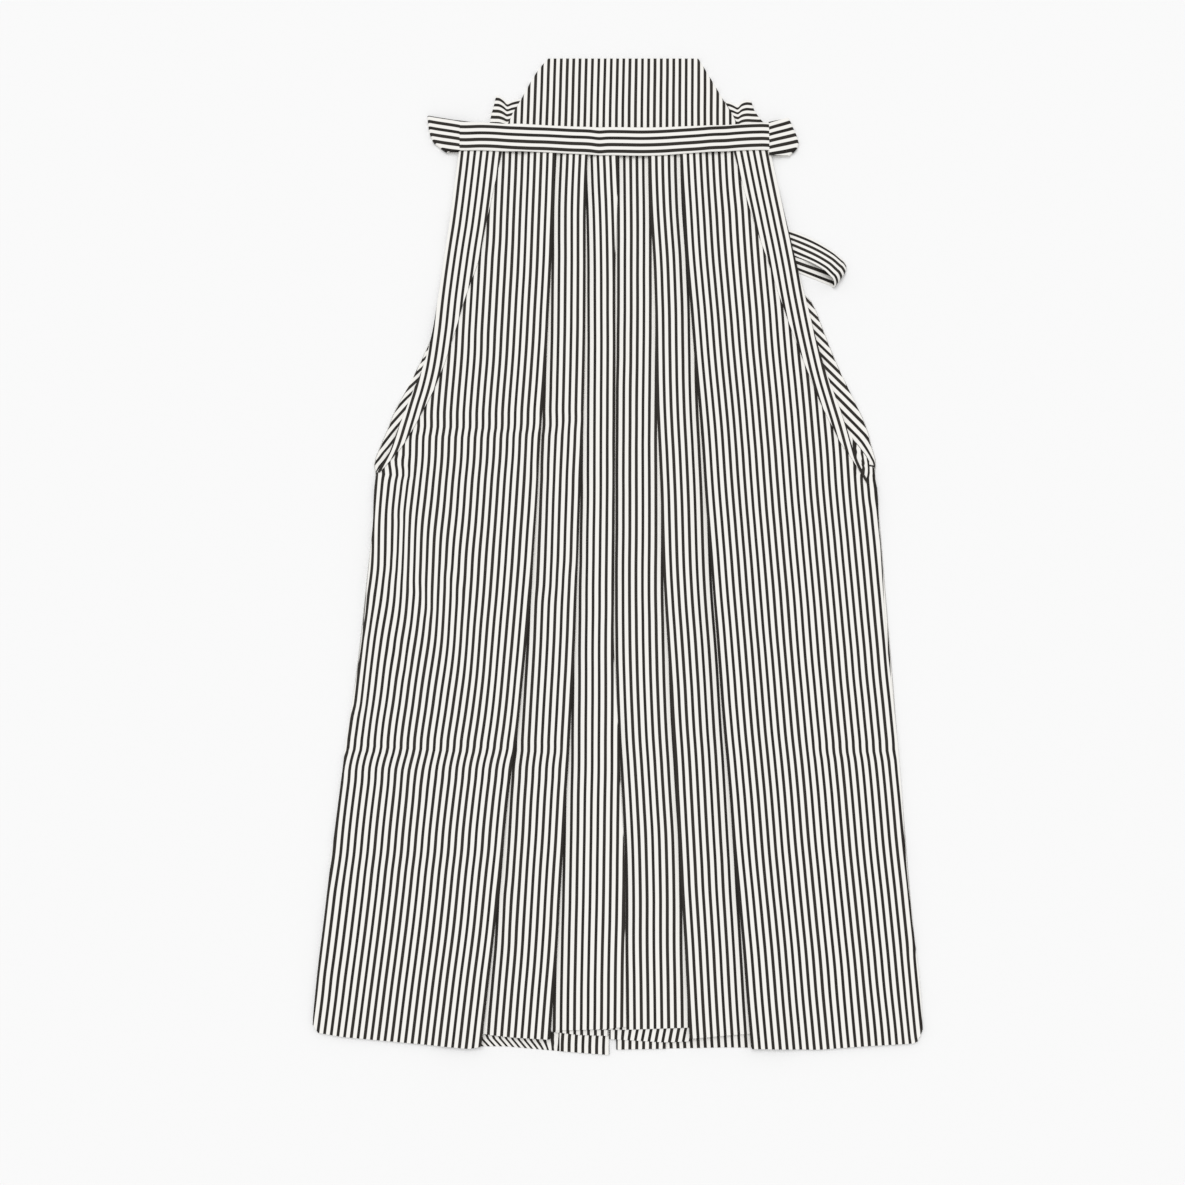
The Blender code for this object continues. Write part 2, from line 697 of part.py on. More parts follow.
# ---------------------------------------------------------------- build
def main():
    for thing in list(bpy.data.objects):
        bpy.data.objects.remove(thing, do_unlink=True)
    collection = bpy.data.collections.new("hakama_trousers")
    bpy.context.scene.collection.children.link(collection)

    back_leg("back_leg_right", -1, edge(BACK, "edge_r"), edge(BACK, "fold_r"), HEM_BACK_R,
             paint("back cloth right", CREAM_SHADE), collection)
    back_leg("back_leg_left", 1, edge(BACK, "edge_l"), edge(BACK, "fold_l"), HEM_BACK_L,
             paint("back cloth left", CREAM_SHADE), collection)
    inner_leg("inner_leg_right", edge(INNER, "outer_r"), edge(INNER, "middle_r"), HEM_INNER_R,
              paint("inner cloth right", CREAM_SHADE), collection)
    inner_leg("inner_leg_left", edge(INNER, "middle_l"), edge(INNER, "outer_l"), HEM_INNER_L,
              paint("inner cloth left", CREAM_SHADE), collection)
    front_leg_right(paint("front cloth right", CREAM), collection)
    front_leg_left(paint("front cloth left", CREAM), collection)
    side_fold("side_fold_right", FOLD_RIGHT, paint("side fold right", CREAM), collection)
    side_fold("side_fold_left", FOLD_LEFT, paint("side fold left", CREAM), collection)
    back_board(paint("board cloth", CREAM), collection)
    waistband(paint("band cloth", CREAM), collection)
    for tie in TIE_ENDS:
        front_tie(tie, paint(tie.name + " cloth", CREAM), collection)
    for tie in BACK_TIES:
        back_tie(tie, paint(tie.name + " cloth", CREAM), collection)
    side_tie(paint("side tie cloth", CREAM), collection)


main()
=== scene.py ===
"""Hakama trousers in striped cloth, laid flat with the front upwards.

Each piece of cloth is a thin folded sheet in the place of its CAD solid.  A sheet is a grid of
stations across the garment and rows down it.  Lengths here are millimetres: x runs from the
wearer's right (-) to the left (+), s runs down from the waistband's top edge, z is the height.
Every point also has a stripe coordinate u, which is a whole number in the middle of each dark
stripe, so that the stripes follow the cloth through its folds.
"""

import math
from collections import namedtuple

import bmesh
import bpy
import numpy as np
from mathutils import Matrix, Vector


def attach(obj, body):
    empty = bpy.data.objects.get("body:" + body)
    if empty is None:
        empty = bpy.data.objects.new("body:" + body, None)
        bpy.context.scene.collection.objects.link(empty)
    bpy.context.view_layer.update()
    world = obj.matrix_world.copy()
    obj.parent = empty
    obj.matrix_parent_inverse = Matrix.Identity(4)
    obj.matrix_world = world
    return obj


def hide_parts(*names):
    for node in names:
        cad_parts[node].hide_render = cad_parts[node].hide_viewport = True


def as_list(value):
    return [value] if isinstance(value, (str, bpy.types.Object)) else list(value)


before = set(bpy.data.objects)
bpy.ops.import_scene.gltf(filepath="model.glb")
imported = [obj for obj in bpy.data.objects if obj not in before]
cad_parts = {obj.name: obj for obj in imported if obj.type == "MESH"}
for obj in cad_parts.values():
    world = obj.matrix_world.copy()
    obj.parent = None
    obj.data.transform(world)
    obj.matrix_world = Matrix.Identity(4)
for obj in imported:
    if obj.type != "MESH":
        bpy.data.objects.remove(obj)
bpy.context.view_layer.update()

SCENE = bpy.context.scene
MM = 0.001
WAIST_TO_CENTRE = 439.0  # from s = 0 to the garment's middle, y = 0


# ---- camera
CAMERA_PLACE = (-0.0241, -0.3097, 1.6412)
CAMERA_TARGET = (-0.0241, -0.0605, 0.0050)
CAMERA_LENS, CAMERA_SENSOR = 50.0, 36.0


def look(thing, direction):
    """Turn a camera or a lamp to look along a direction."""
    thing.rotation_euler = Vector(direction).to_track_quat("-Z", "Y").to_euler()


def make_camera():
    """The photograph's view: nearly straight down, from a little towards the hem."""
    data = bpy.data.cameras.new("camera")
    data.lens, data.sensor_width = CAMERA_LENS, CAMERA_SENSOR
    camera = bpy.data.objects.new("camera", data)
    camera.location = CAMERA_PLACE
    look(camera, Vector(CAMERA_TARGET) - Vector(CAMERA_PLACE))
    SCENE.collection.objects.link(camera)
    SCENE.camera = camera


make_camera()

# ---- driving dimensions (mm)
PITCH = 6.62  # from one dark stripe to the next
WALL = 0.6  # thickness of one layer of cloth
LAYER = 1.3  # from the middle of one layer to the next
TURN = LAYER / 2  # radius of a pressed fold
PANEL_TOP = 27.0  # s where the panels end, inside the waistband
OPENING_END = 374.0  # s of the lower end of the side openings
SIDE_INSET = 1.3  # how far the front stays inside its edge along the openings
LIFT = 1.1  # how far a pleat stands up at its folded edge
LIFT_WIDTH = 6.0
CROTCH = 560.0
UNDERLAP = 0.45  # a pleat's hidden depth, as a share of the panel beside it
RAMP = 22.0  # width over which a side panel comes down off its pleat
CREST_GAP = 3.0  # from the top of a panel's climb to the pleat's hidden fold
LIFT_FROM_A, LIFT_FROM = 12.0, 8.0  # from where a pleat's finer stations begin to its fold
# s between which the front comes out to its edge
OPENING_FADE_R, OPENING_FADE_L = (OPENING_END - 8, OPENING_END + 4), (324.0, 336.0)
FOLD_TUCK = 2.2  # how far a narrow fold's lower layer reaches in
FACING = 22.0
BACK_PLEAT = 48.0
SEAM_LIP = ((0.75, 1.3), (0.62, 0.55), (0.3, 0.32), (0.07, 0.6))  # drops and insets
INNER_STRIPE, INNER_STRIPE_S, INNER_PITCH = 38.5, 931.5, 6.65
INNER_LEAN = (-8.0, 20.0)  # x between which the left inner leg's stripes begin to lean

BACK_Z = 0.5
INNER_Z = BACK_Z + 2 * LAYER
FRONT_SIDE_Z = BACK_Z + 2 * LAYER
FRONT_MIDDLE_Z = BACK_Z + 3 * LAYER
MIDDLE_HALF, MIDDLE_EDGE = 74.0, 100.0  # x between which the front comes down to its sides

# Spacing of the stations, in flat cloth, on a climb, in a facing, beside a lifted edge and in a
# tuck, their steps round a fold, and the rows down each piece.
STEP, CLIMB_STEP, FACING_STEP, FINE_STEP, TUCK_STEP = 5.0, 3.0, 2.5, 2.0, 0.8
FOLD_STEPS = 6
FRONT_ROWS, FOLD_ROWS, BACK_ROWS, INNER_ROWS = 176, 96, 130, 60
WIDTH_PROBES = np.array([40.0, 300.0, 600.0, 930.0])  # where a run's width is measured
HEM_PROBE = 935.0  # where a station's x picks its hem


# ---- tables
def table(columns, *rows):
    """Rows of values with named columns."""
    kind = namedtuple("Row", columns)
    return [kind(*row) for row in rows]


# The front's stripes.  A column is the place of one dark stripe of a panel, from which the
# panel's other stripes are counted.  Pleats a and b face the wearer's left and are folded just
# beyond their stripe, and so are d and e, which face the right.
GRAIN = table(
    "s a b c middle d e",
    (24, -64.1, -30.1, -5.8, 2.5, 35.8, 68.7), (60, -65.2, -31.5, -4.6, 2.8, 36.2, 69.9),
    (100, -66.5, -32.5, -3.3, 3.1, 37.5, 71.8), (150, -68, -32.6, -2.2, 2.9, 40.3, 74.4),
    (200, -70.3, -32.8, -2, 2.7, 41.8, 78.2), (250, -72.6, -33.3, -1.9, 2.1, 42.2, 81.6),
    (300, -75.9, -34.3, -2.3, 1.3, 42.7, 85.5), (350, -79.1, -35.8, -2.6, 0.8, 44.6, 88.9),
    (400, -81.3, -37.9, -2.8, 0.7, 46.4, 91.6), (450, -84.3, -39.5, -3.4, 0.4, 47.4, 95.1),
    (500, -87.5, -41.4, -3.8, -0.1, 49.4, 98.5), (550, -91.5, -43, -4.4, 0.3, 52.2, 101.9),
    (600, -96.1, -45.6, -4.4, 1.4, 54.9, 104.9), (640, -100, -47.6, -4.7, 2.9, 56.8, 107.7),
    (670, -104.4, -49.2, -4.9, 4.6, 58.7, 110.2), (700, -108.1, -51.3, -5.4, 6.3, 60, 112.4),
    (750, -112.9, -54, -6, 8.7, 62.3, 115.7), (800, -117.3, -57.1, -6.8, 9.5, 64.4, 119.6),
    (850, -122.7, -59.7, -7.9, 9.4, 67, 123.6), (900, -128.1, -63.7, -8.7, 9.9, 69.2, 126.9),
    (950, -133.6, -67.3, -9.3, 10.3, 71.8, 130.8),
)
STRIPE_KEPT_AS_FOLD_SHADE = 0.3  # how fast the stripe runs round a pleat's folded edge: held back, so that the real edge stripe covers the whole turn and also paints the fold's shade
FOLD_BEYOND = 1.4  # from the middle of a pleat's edge stripe to the fold itself

# From one dark stripe to the next, on each of these panels.
GRAIN_PITCH = {"a": 6.60, "b": 6.54, "c": 6.52, "middle": 6.59, "d": 6.63, "e": 6.65}

# The front's outer edges, and its middle pleat c, which faces the left.
EDGES = table(
    "s outer_r c outer_l",
    (24, -163.5, 3, 160.9), (60, -167.6, 2.8, 168.3), (100, -172.1, 1.5, 176.2),
    (150, -178.6, -0.2, 186.8), (200, -185.2, -0.6, 198.2), (250, -193.5, -0.5, 209.8),
    (290, -208, -0.7, 222.8), (305, -213.5, -0.8, 227.6), (321, -219, -0.9, 232.8),
    (331, -222.8, -1, 237.3), (338, -225.5, -1.1, 240.6), (345, -227.7, -1.1, 244.8),
    (353, -230.4, -1.2, 250.8), (361, -234, -1.2, 256), (367, -238, -1.3, 259.6),
    (371, -240.8, -1.3, 262.6), (378, -244.2, -1.4, 263.3), (386, -245.2, -1.4, 264.5),
    (430, -246.6, -1.7, 266), (490, -250.5, -2.3, 268), (560, -256.5, -2.5, 271.5),
    (600, -262, -0.4, 275), (650, -268.8, 2.2, 278.8), (700, -274.2, 4.2, 281.5),
    (765, -281, 7.5, 283.8), (830, -287.2, 7.9, 288.8), (860, -290.3, 8, 291.9),
    (890, -292.9, 8.2, 294.3), (910, -294.4, 8.4, 295), (950, -295.6, 8.8, 295.8),
)

# The narrow folds along the side openings: their edges and first dark stripe.
FOLD_RIGHT = table(
    "s outer inner grain",
    (24, -163.5, -117.4, -159.8), (60, -167.6, -124.9, -163.3), (110, -173.3, -134.8, -168.7),
    (150, -178.6, -142.3, -174), (190, -183.8, -155.5, -178.6), (230, -189.8, -166.7, -182.4),
    (270, -200, -179.5, -187.8), (290, -208, -187.3, -192.4), (305, -213.5, -194.5, -196.6),
    (321, -219, -202.5, -200.8), (338, -225.5, -211.7, -205.5), (351, -229.5, -219.7, -209.5),
    (360, -233.5, -227, -213.2), (367, -238, -232.8, -216.8), (376, -243.8, -240.6, -221.5),
)
FOLD_LEFT = table(
    "s outer inner grain",
    (24, 160.9, 122.3, 157), (60, 168.3, 131, 163.1), (110, 178.3, 144.5, 172.2),
    (150, 186.8, 157.5, 179.2), (190, 195.9, 169.5, 185.3), (230, 205, 182.6, 192.3),
    (270, 215.8, 197, 200.3), (305, 227.6, 210.2, 209.4), (323, 233.6, 218.6, 214.3),
    (331, 236.2, 222.4, 216.4), (345, 239.8, 229.1, 219.8), (352, 242, 233.6, 221.5),
    (358, 244, 238, 222.9), (366, 247.1, 242.8, 225.4), (375, 251.1, 247.8, 229.4),
    (388, 257.4, 254.8, 236.3),
)

# The back's side edges, and the folds on both sides of its middle.
BACK = table(
    "s edge_right fold_right fold_left edge_left",
    (26, -118, -9, -7, 136), (90, -137, -9, -7, 149), (150, -158, -9, -7, 166),
    (175, -168, -9, -7, 181), (186, -172.5, -9, -7, 195), (193, -175.3, -9, -6, 202),
    (200, -178, -9, -6, 205.5), (225, -187.5, -9, -6, 214.5), (250, -197.5, -8, -6, 223.4),
    (291, -216.5, -8, -5, 240.5), (310, -226.5, -8, -5, 249.3), (330, -234, -8, -5, 257),
    (348, -241, -8, -5, 261.2), (358, -244.8, -8, -4, 263.8), (366, -247, -8, -4, 265.3),
    (373, -246, -8, -4, 264), (385, -245, -8, -4, 264.5), (430, -247.1, -8, -4, 267.5),
    (490, -252.3, -8, -3, 270.7), (560, -258.4, -8, -3, 274.6), (700, -274.3, -8, -2, 282),
    (830, -287.6, -8, -2, 289.6), (890, -292.9, -8, -2, 294.3), (950, -295.6, -8, -1, 295.8),
)

# The dark stripes of the back's facings, where they show in the side openings: the place of
# one of them, and how far it is to the next.
FACINGS = table(
    "s line_right gap_right line_left gap_left",
    (160, -76, 8.2, 99, 8.6), (200, -107, 8.2, 136, 8.6), (250, -158, 8.3, 183.4, 8.9),
    (284, -193, 8.5, 215.5, 9.3), (300, -209, 8.5, 230.5, 9.7), (314, -221, 8.3, 243.5, 9.8),
    (329, -233.5, 8, 257.5, 9.8), (339, -241, 7.9, 265.5, 9.1), (347, -246.5, 7.7, 268.4, 7.5),
    (355, -252.5, 7.4, 270.5, 6.3), (362, -257.6, 7.5, 272, 5.1), (368, -261, 6.9, 273.5, 5),
    (375, -263, 6.4, 275.5, 5), (400, -266, 6.4, 278, 5),
)

# The right back's stripe coordinate just above its hem, where it shows under the front, at
# s = HEM_STRIPE_S, how far the stripes lean along +X down the cloth, and how much more they
# lean below s = HEM_KINK_S.
HEM_STRIPE_S, HEM_KINK_S = 940.0, 937.0
HEM_STRIPE_BLEND = (600.0, 925.0)  # where the even stripes turn into them
HEM_STRIPES = table(
    "x u lean kink",
    (-294, 0.1, 0, 0), (-190, -15.6, 0, 0), (-150, -21.5, 0.4, 0.5), (-127.6, -25, 0.45, 0.6),
    (-98.3, -30, 0.4, 0.5), (-69.4, -35, 0.2, 0.3), (-62.6, -36, 0.05, 0), (-36.1, -40, -0.05, 0),
    (-9, -44, -0.1, 0),
)

# The inner leg pieces' edges.
INNER = table(
    "s right_start right_end left_start left_end",
    (560, -42, -6, -5, 48), (700, -50, -7, -6, 58), (830, -58, -8, -7, 66), (950, -65, -9, -8, 72),
)

# The hems, as (x, s) points.
HEM_SIDE_R = [(-296, 921), (-290, 930), (-266, 934), (-142, 945), (-132, 943)]
HEM_MIDDLE_R = [(-131, 930.5), (-125, 932), (-100, 934.3), (-66, 936)]
HEM_CENTRE_R = [(-65, 928), (-10, 926), (8, 924)]
HEM_CENTRE_L = [(9, 927), (70, 925)]
HEM_MIDDLE_L = [(72, 935), (110, 932), (129, 931)]
HEM_SIDE_L = [(131, 945), (193, 946), (235, 943), (288, 940), (292.5, 936), (295.5, 926)]
HEM_INNER_R = [(-65, 929), (-38, 932), (-9, 933)]
HEM_INNER_L = [(-8, 936), (12, 937), (45, 939), (72, 938)]
HEM_BACK_R = [(-296, 920), (-290, 929), (-266, 933), (-142, 943), (-108, 943), (-62, 947),
              (-23, 950), (-9, 951)]
HEM_BACK_L = [(-1, 946), (105, 944), (193, 945), (235, 942), (288, 939), (292.5, 935),
              (295.5, 925)]

# The waistband: its edges and the first of its dark lines.
BAND = table(
    "x top line bottom",
    (-163.4, -0.7, 5.3, 31.1), (-158, -0.6, 5.4, 31.1), (-142, -0.1, 5, 31), (-121, 1.4, 5.9, 31.9),
    (-100, 2.7, 8.1, 33), (-73, 4.5, 9.2, 34.3), (-47, 5.7, 10.7, 35.8), (-26, 6.4, 11.7, 36.9),
    (-17, 6.8, 12.7, 37.5), (-9, 6.6, 12.1, 37.5), (5, 6.6, 12, 37.7), (28, 6.9, 12.4, 38.1),
    (48, 6.7, 11.9, 37.6), (68, 5.8, 10.6, 36.1), (89, 5, 9.2, 34.4), (110, 3.7, 7, 32.6),
    (131, 1.8, 5, 31.1), (147, 0.8, 4.2, 30.6), (158, 0.4, 4.2, 30.7), (161.2, 0.5, 4.5, 30.9),
)
BAND_PITCH = 7.2  # the band's cloth lies a little slack across its width
BAND_THICKNESS = 2.0
BAND_REST = 0.8  # from the middle of the layer under the band to the band
BAND_DROP = (95.0, 120.0)  # where it comes down off the pleats, from the middle outwards
BAND_STEP = 26.4  # s above which the band's back lies on the board
BAND_ROUND = 1.6  # how far in from its edges the band's face begins to turn down
BAND_CROWN = 0.25
BOARD_THICKNESS = 4.0
BOARD_ROUNDING = 1.5
TIE_WALL = 1.6
TIE_OVER_Z, TIE_UNDER_Z = 3.9, 1.2
TACK_START, TACK_END = (257.6, 368.4, 4.0), (263.0, 369.4, 3.6)  # x, s and z
TACK_RADIUS, TACK_TIP, TACK_FLATNESS = 0.8, 0.05, 0.7
TACK_TURNS, TACK_WINDING = 9, 0.16  # its windings, and how far they stand out

# The back board's edges, on the wearer's right and left.
BOARD = table(
    "s right left",
    (-73, -71, 88), (-66, -77, 92), (-30, -98, 112), (0, -113, 128), (25, -116, 134),
)
# One of its dark stripes is at x = BOARD_STRIPE_X where s = BOARD_STRIPE_S.  Down the board
# the stripes lean to the wearer's right, and spread.
BOARD_STRIPE_X, BOARD_STRIPE_S = 2.3, -65.0
BOARD_LEAN, BOARD_SPREAD = 0.02, 0.0006

# The end of a front tie: the line where it leaves the band, its fold from the upper to the
# lower edge, its edges at both, its first dark line and the distance to the next at both, and
# where its tucked end stops.
TIE_ENDS = table(
    "name side crease folds top_in top_out bottom_in bottom_out line_in line_out pitch_in"
    " pitch_out hidden",
    ("right", -1, -162.4, (-198, -197, -195, -190, -177), -1, -8, 31, 32,
     5.0, -2.0, 6.9, 6.9, -141),
    ("left", 1, 160.9, (183, 187, 191, 192, 183), 0, -5.5, 36.0, 35.5,
     6.9, -2.2, 7.1, 7.9, 163),
)

# The start of a back tie at the board's side: the distance from one dark line to the next, and
# as (x, s) points its top edge, which dips at a crease, and its fold at the outside.
BACK_TIES = table(
    "name side crease pitch top_edge fold",
    ("right", -1, -115.5, 6.8,
     [(-130, -31), (-127.5, -30.5), (-122, -29.8), (-117.5, -26.4), (-114, -23),
      (-109.5, -24.8), (-106.5, -25.8), (-100, -27.3), (-97, -27.8)],
     [(-126.3, -30), (-128.3, -20), (-130.3, -12), (-132.3, -2), (-133.8, 5), (-136, 24)]),
    ("left", 1, 130, 6.1,
     [(112, -25), (119.5, -24.3), (124, -22.3), (129, -19.8), (133, -23.6), (137.5, -25.4),
      (143.5, -25)],
     [(143.5, -25.6), (145.5, -17.6), (149.5, -10), (155, -2.6), (159, 2), (161, 6),
      (162, 24)]),
)
STUB_WALL = 1.3
STUB_GAP = 1.9  # between the middles of the tie's two layers
STUB_LINE = 3.8  # from the top edge to the first dark line
STUB_FADE = 1.6  # how fast the dip of the top edge fades further down
STUB_BULGE, STUB_BULGE_WIDTH = 0.9, 20.0  # the soft rise outside the crease
STUB_VALLEY, STUB_VALLEY_WIDTH = 0.7, 2.2  # the crease itself
STUB_CALM = (0.35, 0.95)  # the shares of the way down between which both fade

# The tie that is folded out of the wearer's left side opening.  Each row is a line along the
# tie, at a `share` of its width from the edge that lies on the surface to the raised one: it
# comes out at `in`, is folded at `fold`, where it stands `lift` high and goes `drop` down while
# it turns under, and goes back at `out`.
LOOP = table(
    "share in_x in_s fold_x fold_s lift drop out_x out_s",
    (0.0, 176, 115.2, 239.5, 149.5, 0, 1, 177, 131),
    (0.25, 176, 121.2, 239, 156.2, 3.5, 1, 177, 138),
    (0.5, 177, 127.2, 235.5, 162.6, 7, 1.5, 178, 144.5),
    (0.75, 177, 133.6, 231, 167.8, 9.5, 3, 178, 151.5),
    (1.0, 178, 141.5, 226.5, 172, 10.5, 5, 179, 158),
)
LOOP_BOW = 4.0  # how far the upper layer's lines bow up between its ends
LOOP_HOOK = 4.2  # how far they hook down where they turn over
LOOP_BULGE = 3.0  # how far the fold stands out
LOOP_ROLL = 1.6  # how much higher the upper layer's lines run into the fold
LOOP_RISE, LOOP_NEAR = (0.25, 1.0), (0.82, 1.0)  # the shares of a line where it lifts and rolls
LOOP_UNDER_Z = 0.62
LOOP_WALL = 0.8
LOOP_STRIPES, LOOP_STRIPE = 4.15, 0.42  # stripes across the tie, and u at its first edge

# Creases and ripples: soft ridges between two points.  `shift` is how far the stripes are
# pushed along +X at both ends of the ridge, `rise` its height there, and `half` its half width.
RIPPLES = table(
    "x0 s0 x1 s1 half shift0 shift1 rise0 rise1",
    (-262, 470, -128, 606, 30, 4.3, 0.9, 3, 0.8), (-250, 376, -262, 610, 9, 2.4, 2, 0.5, 0.5),
    (-215, 362, -110, 358, 20, 1.5, 0.9, 1.5, 0.9),
    (-212, 420, -160, 458, 24, -1.5, -0.8, -0.2, 0), (-235, 632, -160, 642, 20, -1.2, -0.6, 0, 0),
    (-275, 760, -130, 756, 14, 0.6, 0.5, 0.6, 0.5), (-260, 842, -150, 838, 30, 0.3, 0.6, 0.4, 0.6),
    (-228, 326, -40, 322, 8, 1, 0.5, 0.5, 0.4), (-226, 385, -228, 470, 14, 1.5, 1.6, 0.3, 0.3),
    (-76, 385, -72, 490, 14, 0.7, 1.1, 0.3, 0.3), (225, 390, 262, 570, 30, -0.6, -0.6, 0.2, 0.2),
    (135, 100, 150, 200, 22, 1.1, 0.6, 0, 0), (-135, 150, -140, 225, 18, -0.9, -0.8, 0, 0),
    (-285, 800, -285, 870, 18, -1.1, -0.7, 0.3, 0.3),
    (-255, 665, -195, 690, 14, -0.6, -0.9, 0.2, 0.4),
    (-236, 362, -215, 366, 4, -1, -0.8, 0.2, 0.2), (-234, 377, -212, 378, 5, 1.3, 0.9, 0.3, 0.3),
    (-275, 656, -60, 658, 6, 1.1, 0.5, 0.5, 0.3), (-275, 676, -60, 675, 8, -0.8, -0.4, -0.3, -0.2),
    (200, 658, 275, 658, 6, -0.5, -0.8, 0.3, 0.3), (-220, 331, -60, 330, 5, 0.6, 0.4, 0.3, 0.3),
    (-222, 430, -224, 456, 9, 1, 0.8, 0.2, 0.2), (-45, 400, -48, 465, 14, 0.5, 0.6, 0.1, 0.1),
    (255, 380, 258, 402, 9, -0.9, -0.8, 0.2, 0.2), (285, 680, 288, 760, 12, -0.6, -0.4, 0.1, 0.1),
    (292, 860, 293, 930, 10, -1.2, -1.3, 0.1, 0.1),
    (-256, 468, -250, 500, 8, -1, -0.9, -0.2, -0.2), (-256, 522, -254, 535, 7, 1, 0.7, 0.2, 0.2),
    (-200, 500, -192, 516, 8, 0.9, 0.8, 0.3, 0.2), (-168, 484, -160, 496, 8, -0.7, -0.6, 0, 0),
    (70, 480, 195, 560, 30, -0.4, -0.5, 0.1, 0.1),
    (-110, 800, -104, 830, 12, -0.6, -0.5, 0.1, 0.1), (225, 870, 255, 925, 22, 0.5, 0.5, 0.1, 0.1),
    (-220, 560, -215, 575, 9, 0.7, 0.6, 0.1, 0.1), (244, 340, 253, 374, 5, 2.4, 3.4, -0.3, -0.3),
    (263, 372, 263.5, 384, 4, -1.3, -1, 0, 0),
)
RIDGE_SPREAD = 0.72  # a ridge's standard deviation, as a share of `half`

# Slight swells over the whole front: each wave's lengths along x and s, and its start.
SWELLS = ((31.0, 87.0, 0.0), (53.0, -61.0, 1.7), (140.0, 39.0, 0.6))
SWELL_HEIGHT = 0.12
RELIEF_START, RELIEF_END = (34.0, 110.0), (900.0, 945.0)  # where both come and go
RELIEF_LOST = 0.6  # the share that is gone at the hem


# ---- curves through tables
def smooth(keys, values):
    """A smooth curve through points, as a function of an array."""
    keys, values = np.array(keys, float), np.array(values, float)
    slopes = np.gradient(values, keys)

    def at(where):
        where = np.clip(where, keys[0], keys[-1])
        low = np.clip(np.searchsorted(keys, where, side="right") - 1, 0, len(keys) - 2)
        span = keys[low + 1] - keys[low]
        t = (where - keys[low]) / span
        end = t * t * (3 - 2 * t)
        bend = slopes[low] * t * (1 - t) ** 2 - slopes[low + 1] * t * t * (1 - t)
        return values[low] * (1 - end) + values[low + 1] * end + span * bend
    return at


def curve(rows, column, key="s"):
    """A smooth curve through one column of a table, as a function of another."""
    return smooth([getattr(row, key) for row in rows], [getattr(row, column) for row in rows])


def shifted(line, distance):
    """A line moved along X."""
    return lambda s: line(s) + distance


def ease(start, end, value):
    """0 before start and 1 after end, with a smooth rise between."""
    t = np.clip((value - start) / (end - start), 0.0, 1.0)
    return t * t * (3 - 2 * t)


def shares(count):
    """Even steps from 0 to 1."""
    return np.linspace(0.0, 1.0, count)


def blend(start, end, share):
    """A value at a share of the way from one to another."""
    return start + share * (end - start)


def arc(start, end, angle):
    """A value on the way round a half circle from one to another."""
    return (start + end) / 2 + (start - end) / 2 * math.cos(angle)


# ---- relief
def ridges(x, s, start, end):
    """The sum of the ripples at points, with a height that goes from `start` to `end`."""
    total = np.zeros(np.broadcast(x, s).shape)
    for row in RIPPLES:
        along_x, along_s = row.x1 - row.x0, row.s1 - row.s0
        length = math.hypot(along_x, along_s)
        t = ((x - row.x0) * along_x + (s - row.s0) * along_s) / length ** 2
        across = ((x - row.x0) * along_s - (s - row.s0) * along_x) / length
        share = np.clip(t, 0.0, 1.0)
        beyond = np.abs(t - share) * length
        height = getattr(row, start) * (1 - share) + getattr(row, end) * share
        spread = RIDGE_SPREAD * row.half
        total = total + height * np.exp(-(across ** 2 + beyond ** 2) / (2 * spread ** 2))
    return total


def relief(x, s):
    """Height of the creases and swells of the front, which fade at the waist and the hem."""
    waves = sum(np.sin(x / along_x + s / along_s + start) for along_x, along_s, start in SWELLS)
    swell = SWELL_HEIGHT * (len(SWELLS) + waves)
    shown = ease(*RELIEF_START, s) * (1 - RELIEF_LOST * ease(*RELIEF_END, s))
    return (ridges(x, s, "rise0", "rise1") + swell) * shown


# ---- heights
def front_base(x, s):
    """Height of the front's lowest layer, over the back and the inner leg layers."""
    rise = 1 - ease(MIDDLE_HALF, MIDDLE_EDGE, np.abs(x))
    return blend(FRONT_SIDE_Z, FRONT_MIDDLE_Z, rise) + relief(x, s)


def front_layer(number):
    """Height of a layer of the front, counted up from its lowest one."""
    return lambda x, s: front_base(x, s) + number * LAYER


LOW, MIDDLE, TOP = (front_layer(number) for number in range(3))


def climbing(low_end, high_end):
    """Height of a panel that climbs two layers between the lines low_end and high_end."""
    return lambda x, s: front_base(x, s) + ease(low_end(s), high_end(s), x) * 2 * LAYER


def lifted(height, fold):
    """A height that rises towards a pleat's folded edge."""
    return lambda x, s: height(x, s) + LIFT * np.exp(-((x - fold(s)) / LIFT_WIDTH) ** 2)


def level(z):
    """A constant height."""
    return lambda x, s: z + 0 * x


# ---- stations across a section
# x, z and u are functions of s.  u is None where the cloth is hidden, and is then spread
# between its neighbours along the cloth.
Station = namedtuple("Station", "x z u")


def station(x, height, grain=None):
    """The station at a line, with the height and the stripes there."""
    return Station(x, lambda s: height(x(s), s), grain and (lambda s: grain(x(s), s)))


def rippled(column, sense):
    """Stripes counted outwards from one of the front's, pushed aside by its ripples."""
    line, pitch = curve(GRAIN, column), GRAIN_PITCH[column]
    return lambda x, s: sense * (x - ridges(x, s, "shift0", "shift1") - line(s)) / pitch


def run(start, end, height, grain=None, skip_first=False, step=STEP):
    """Stations in a straight run from x start(s) to x end(s)."""
    widest = np.max(np.abs(end(WIDTH_PROBES) - start(WIDTH_PROBES)))
    count = max(2, math.ceil(widest / step))

    def between(share):
        return lambda s: blend(start(s), end(s), share)
    return [station(between(index / count), height, grain)
            for index in range(skip_first, count + 1)]


def inside(fold, side):
    """The x where the flat cloth ends and the half circle of a fold begins."""
    return shifted(fold, -side * (TURN + WALL / 2))


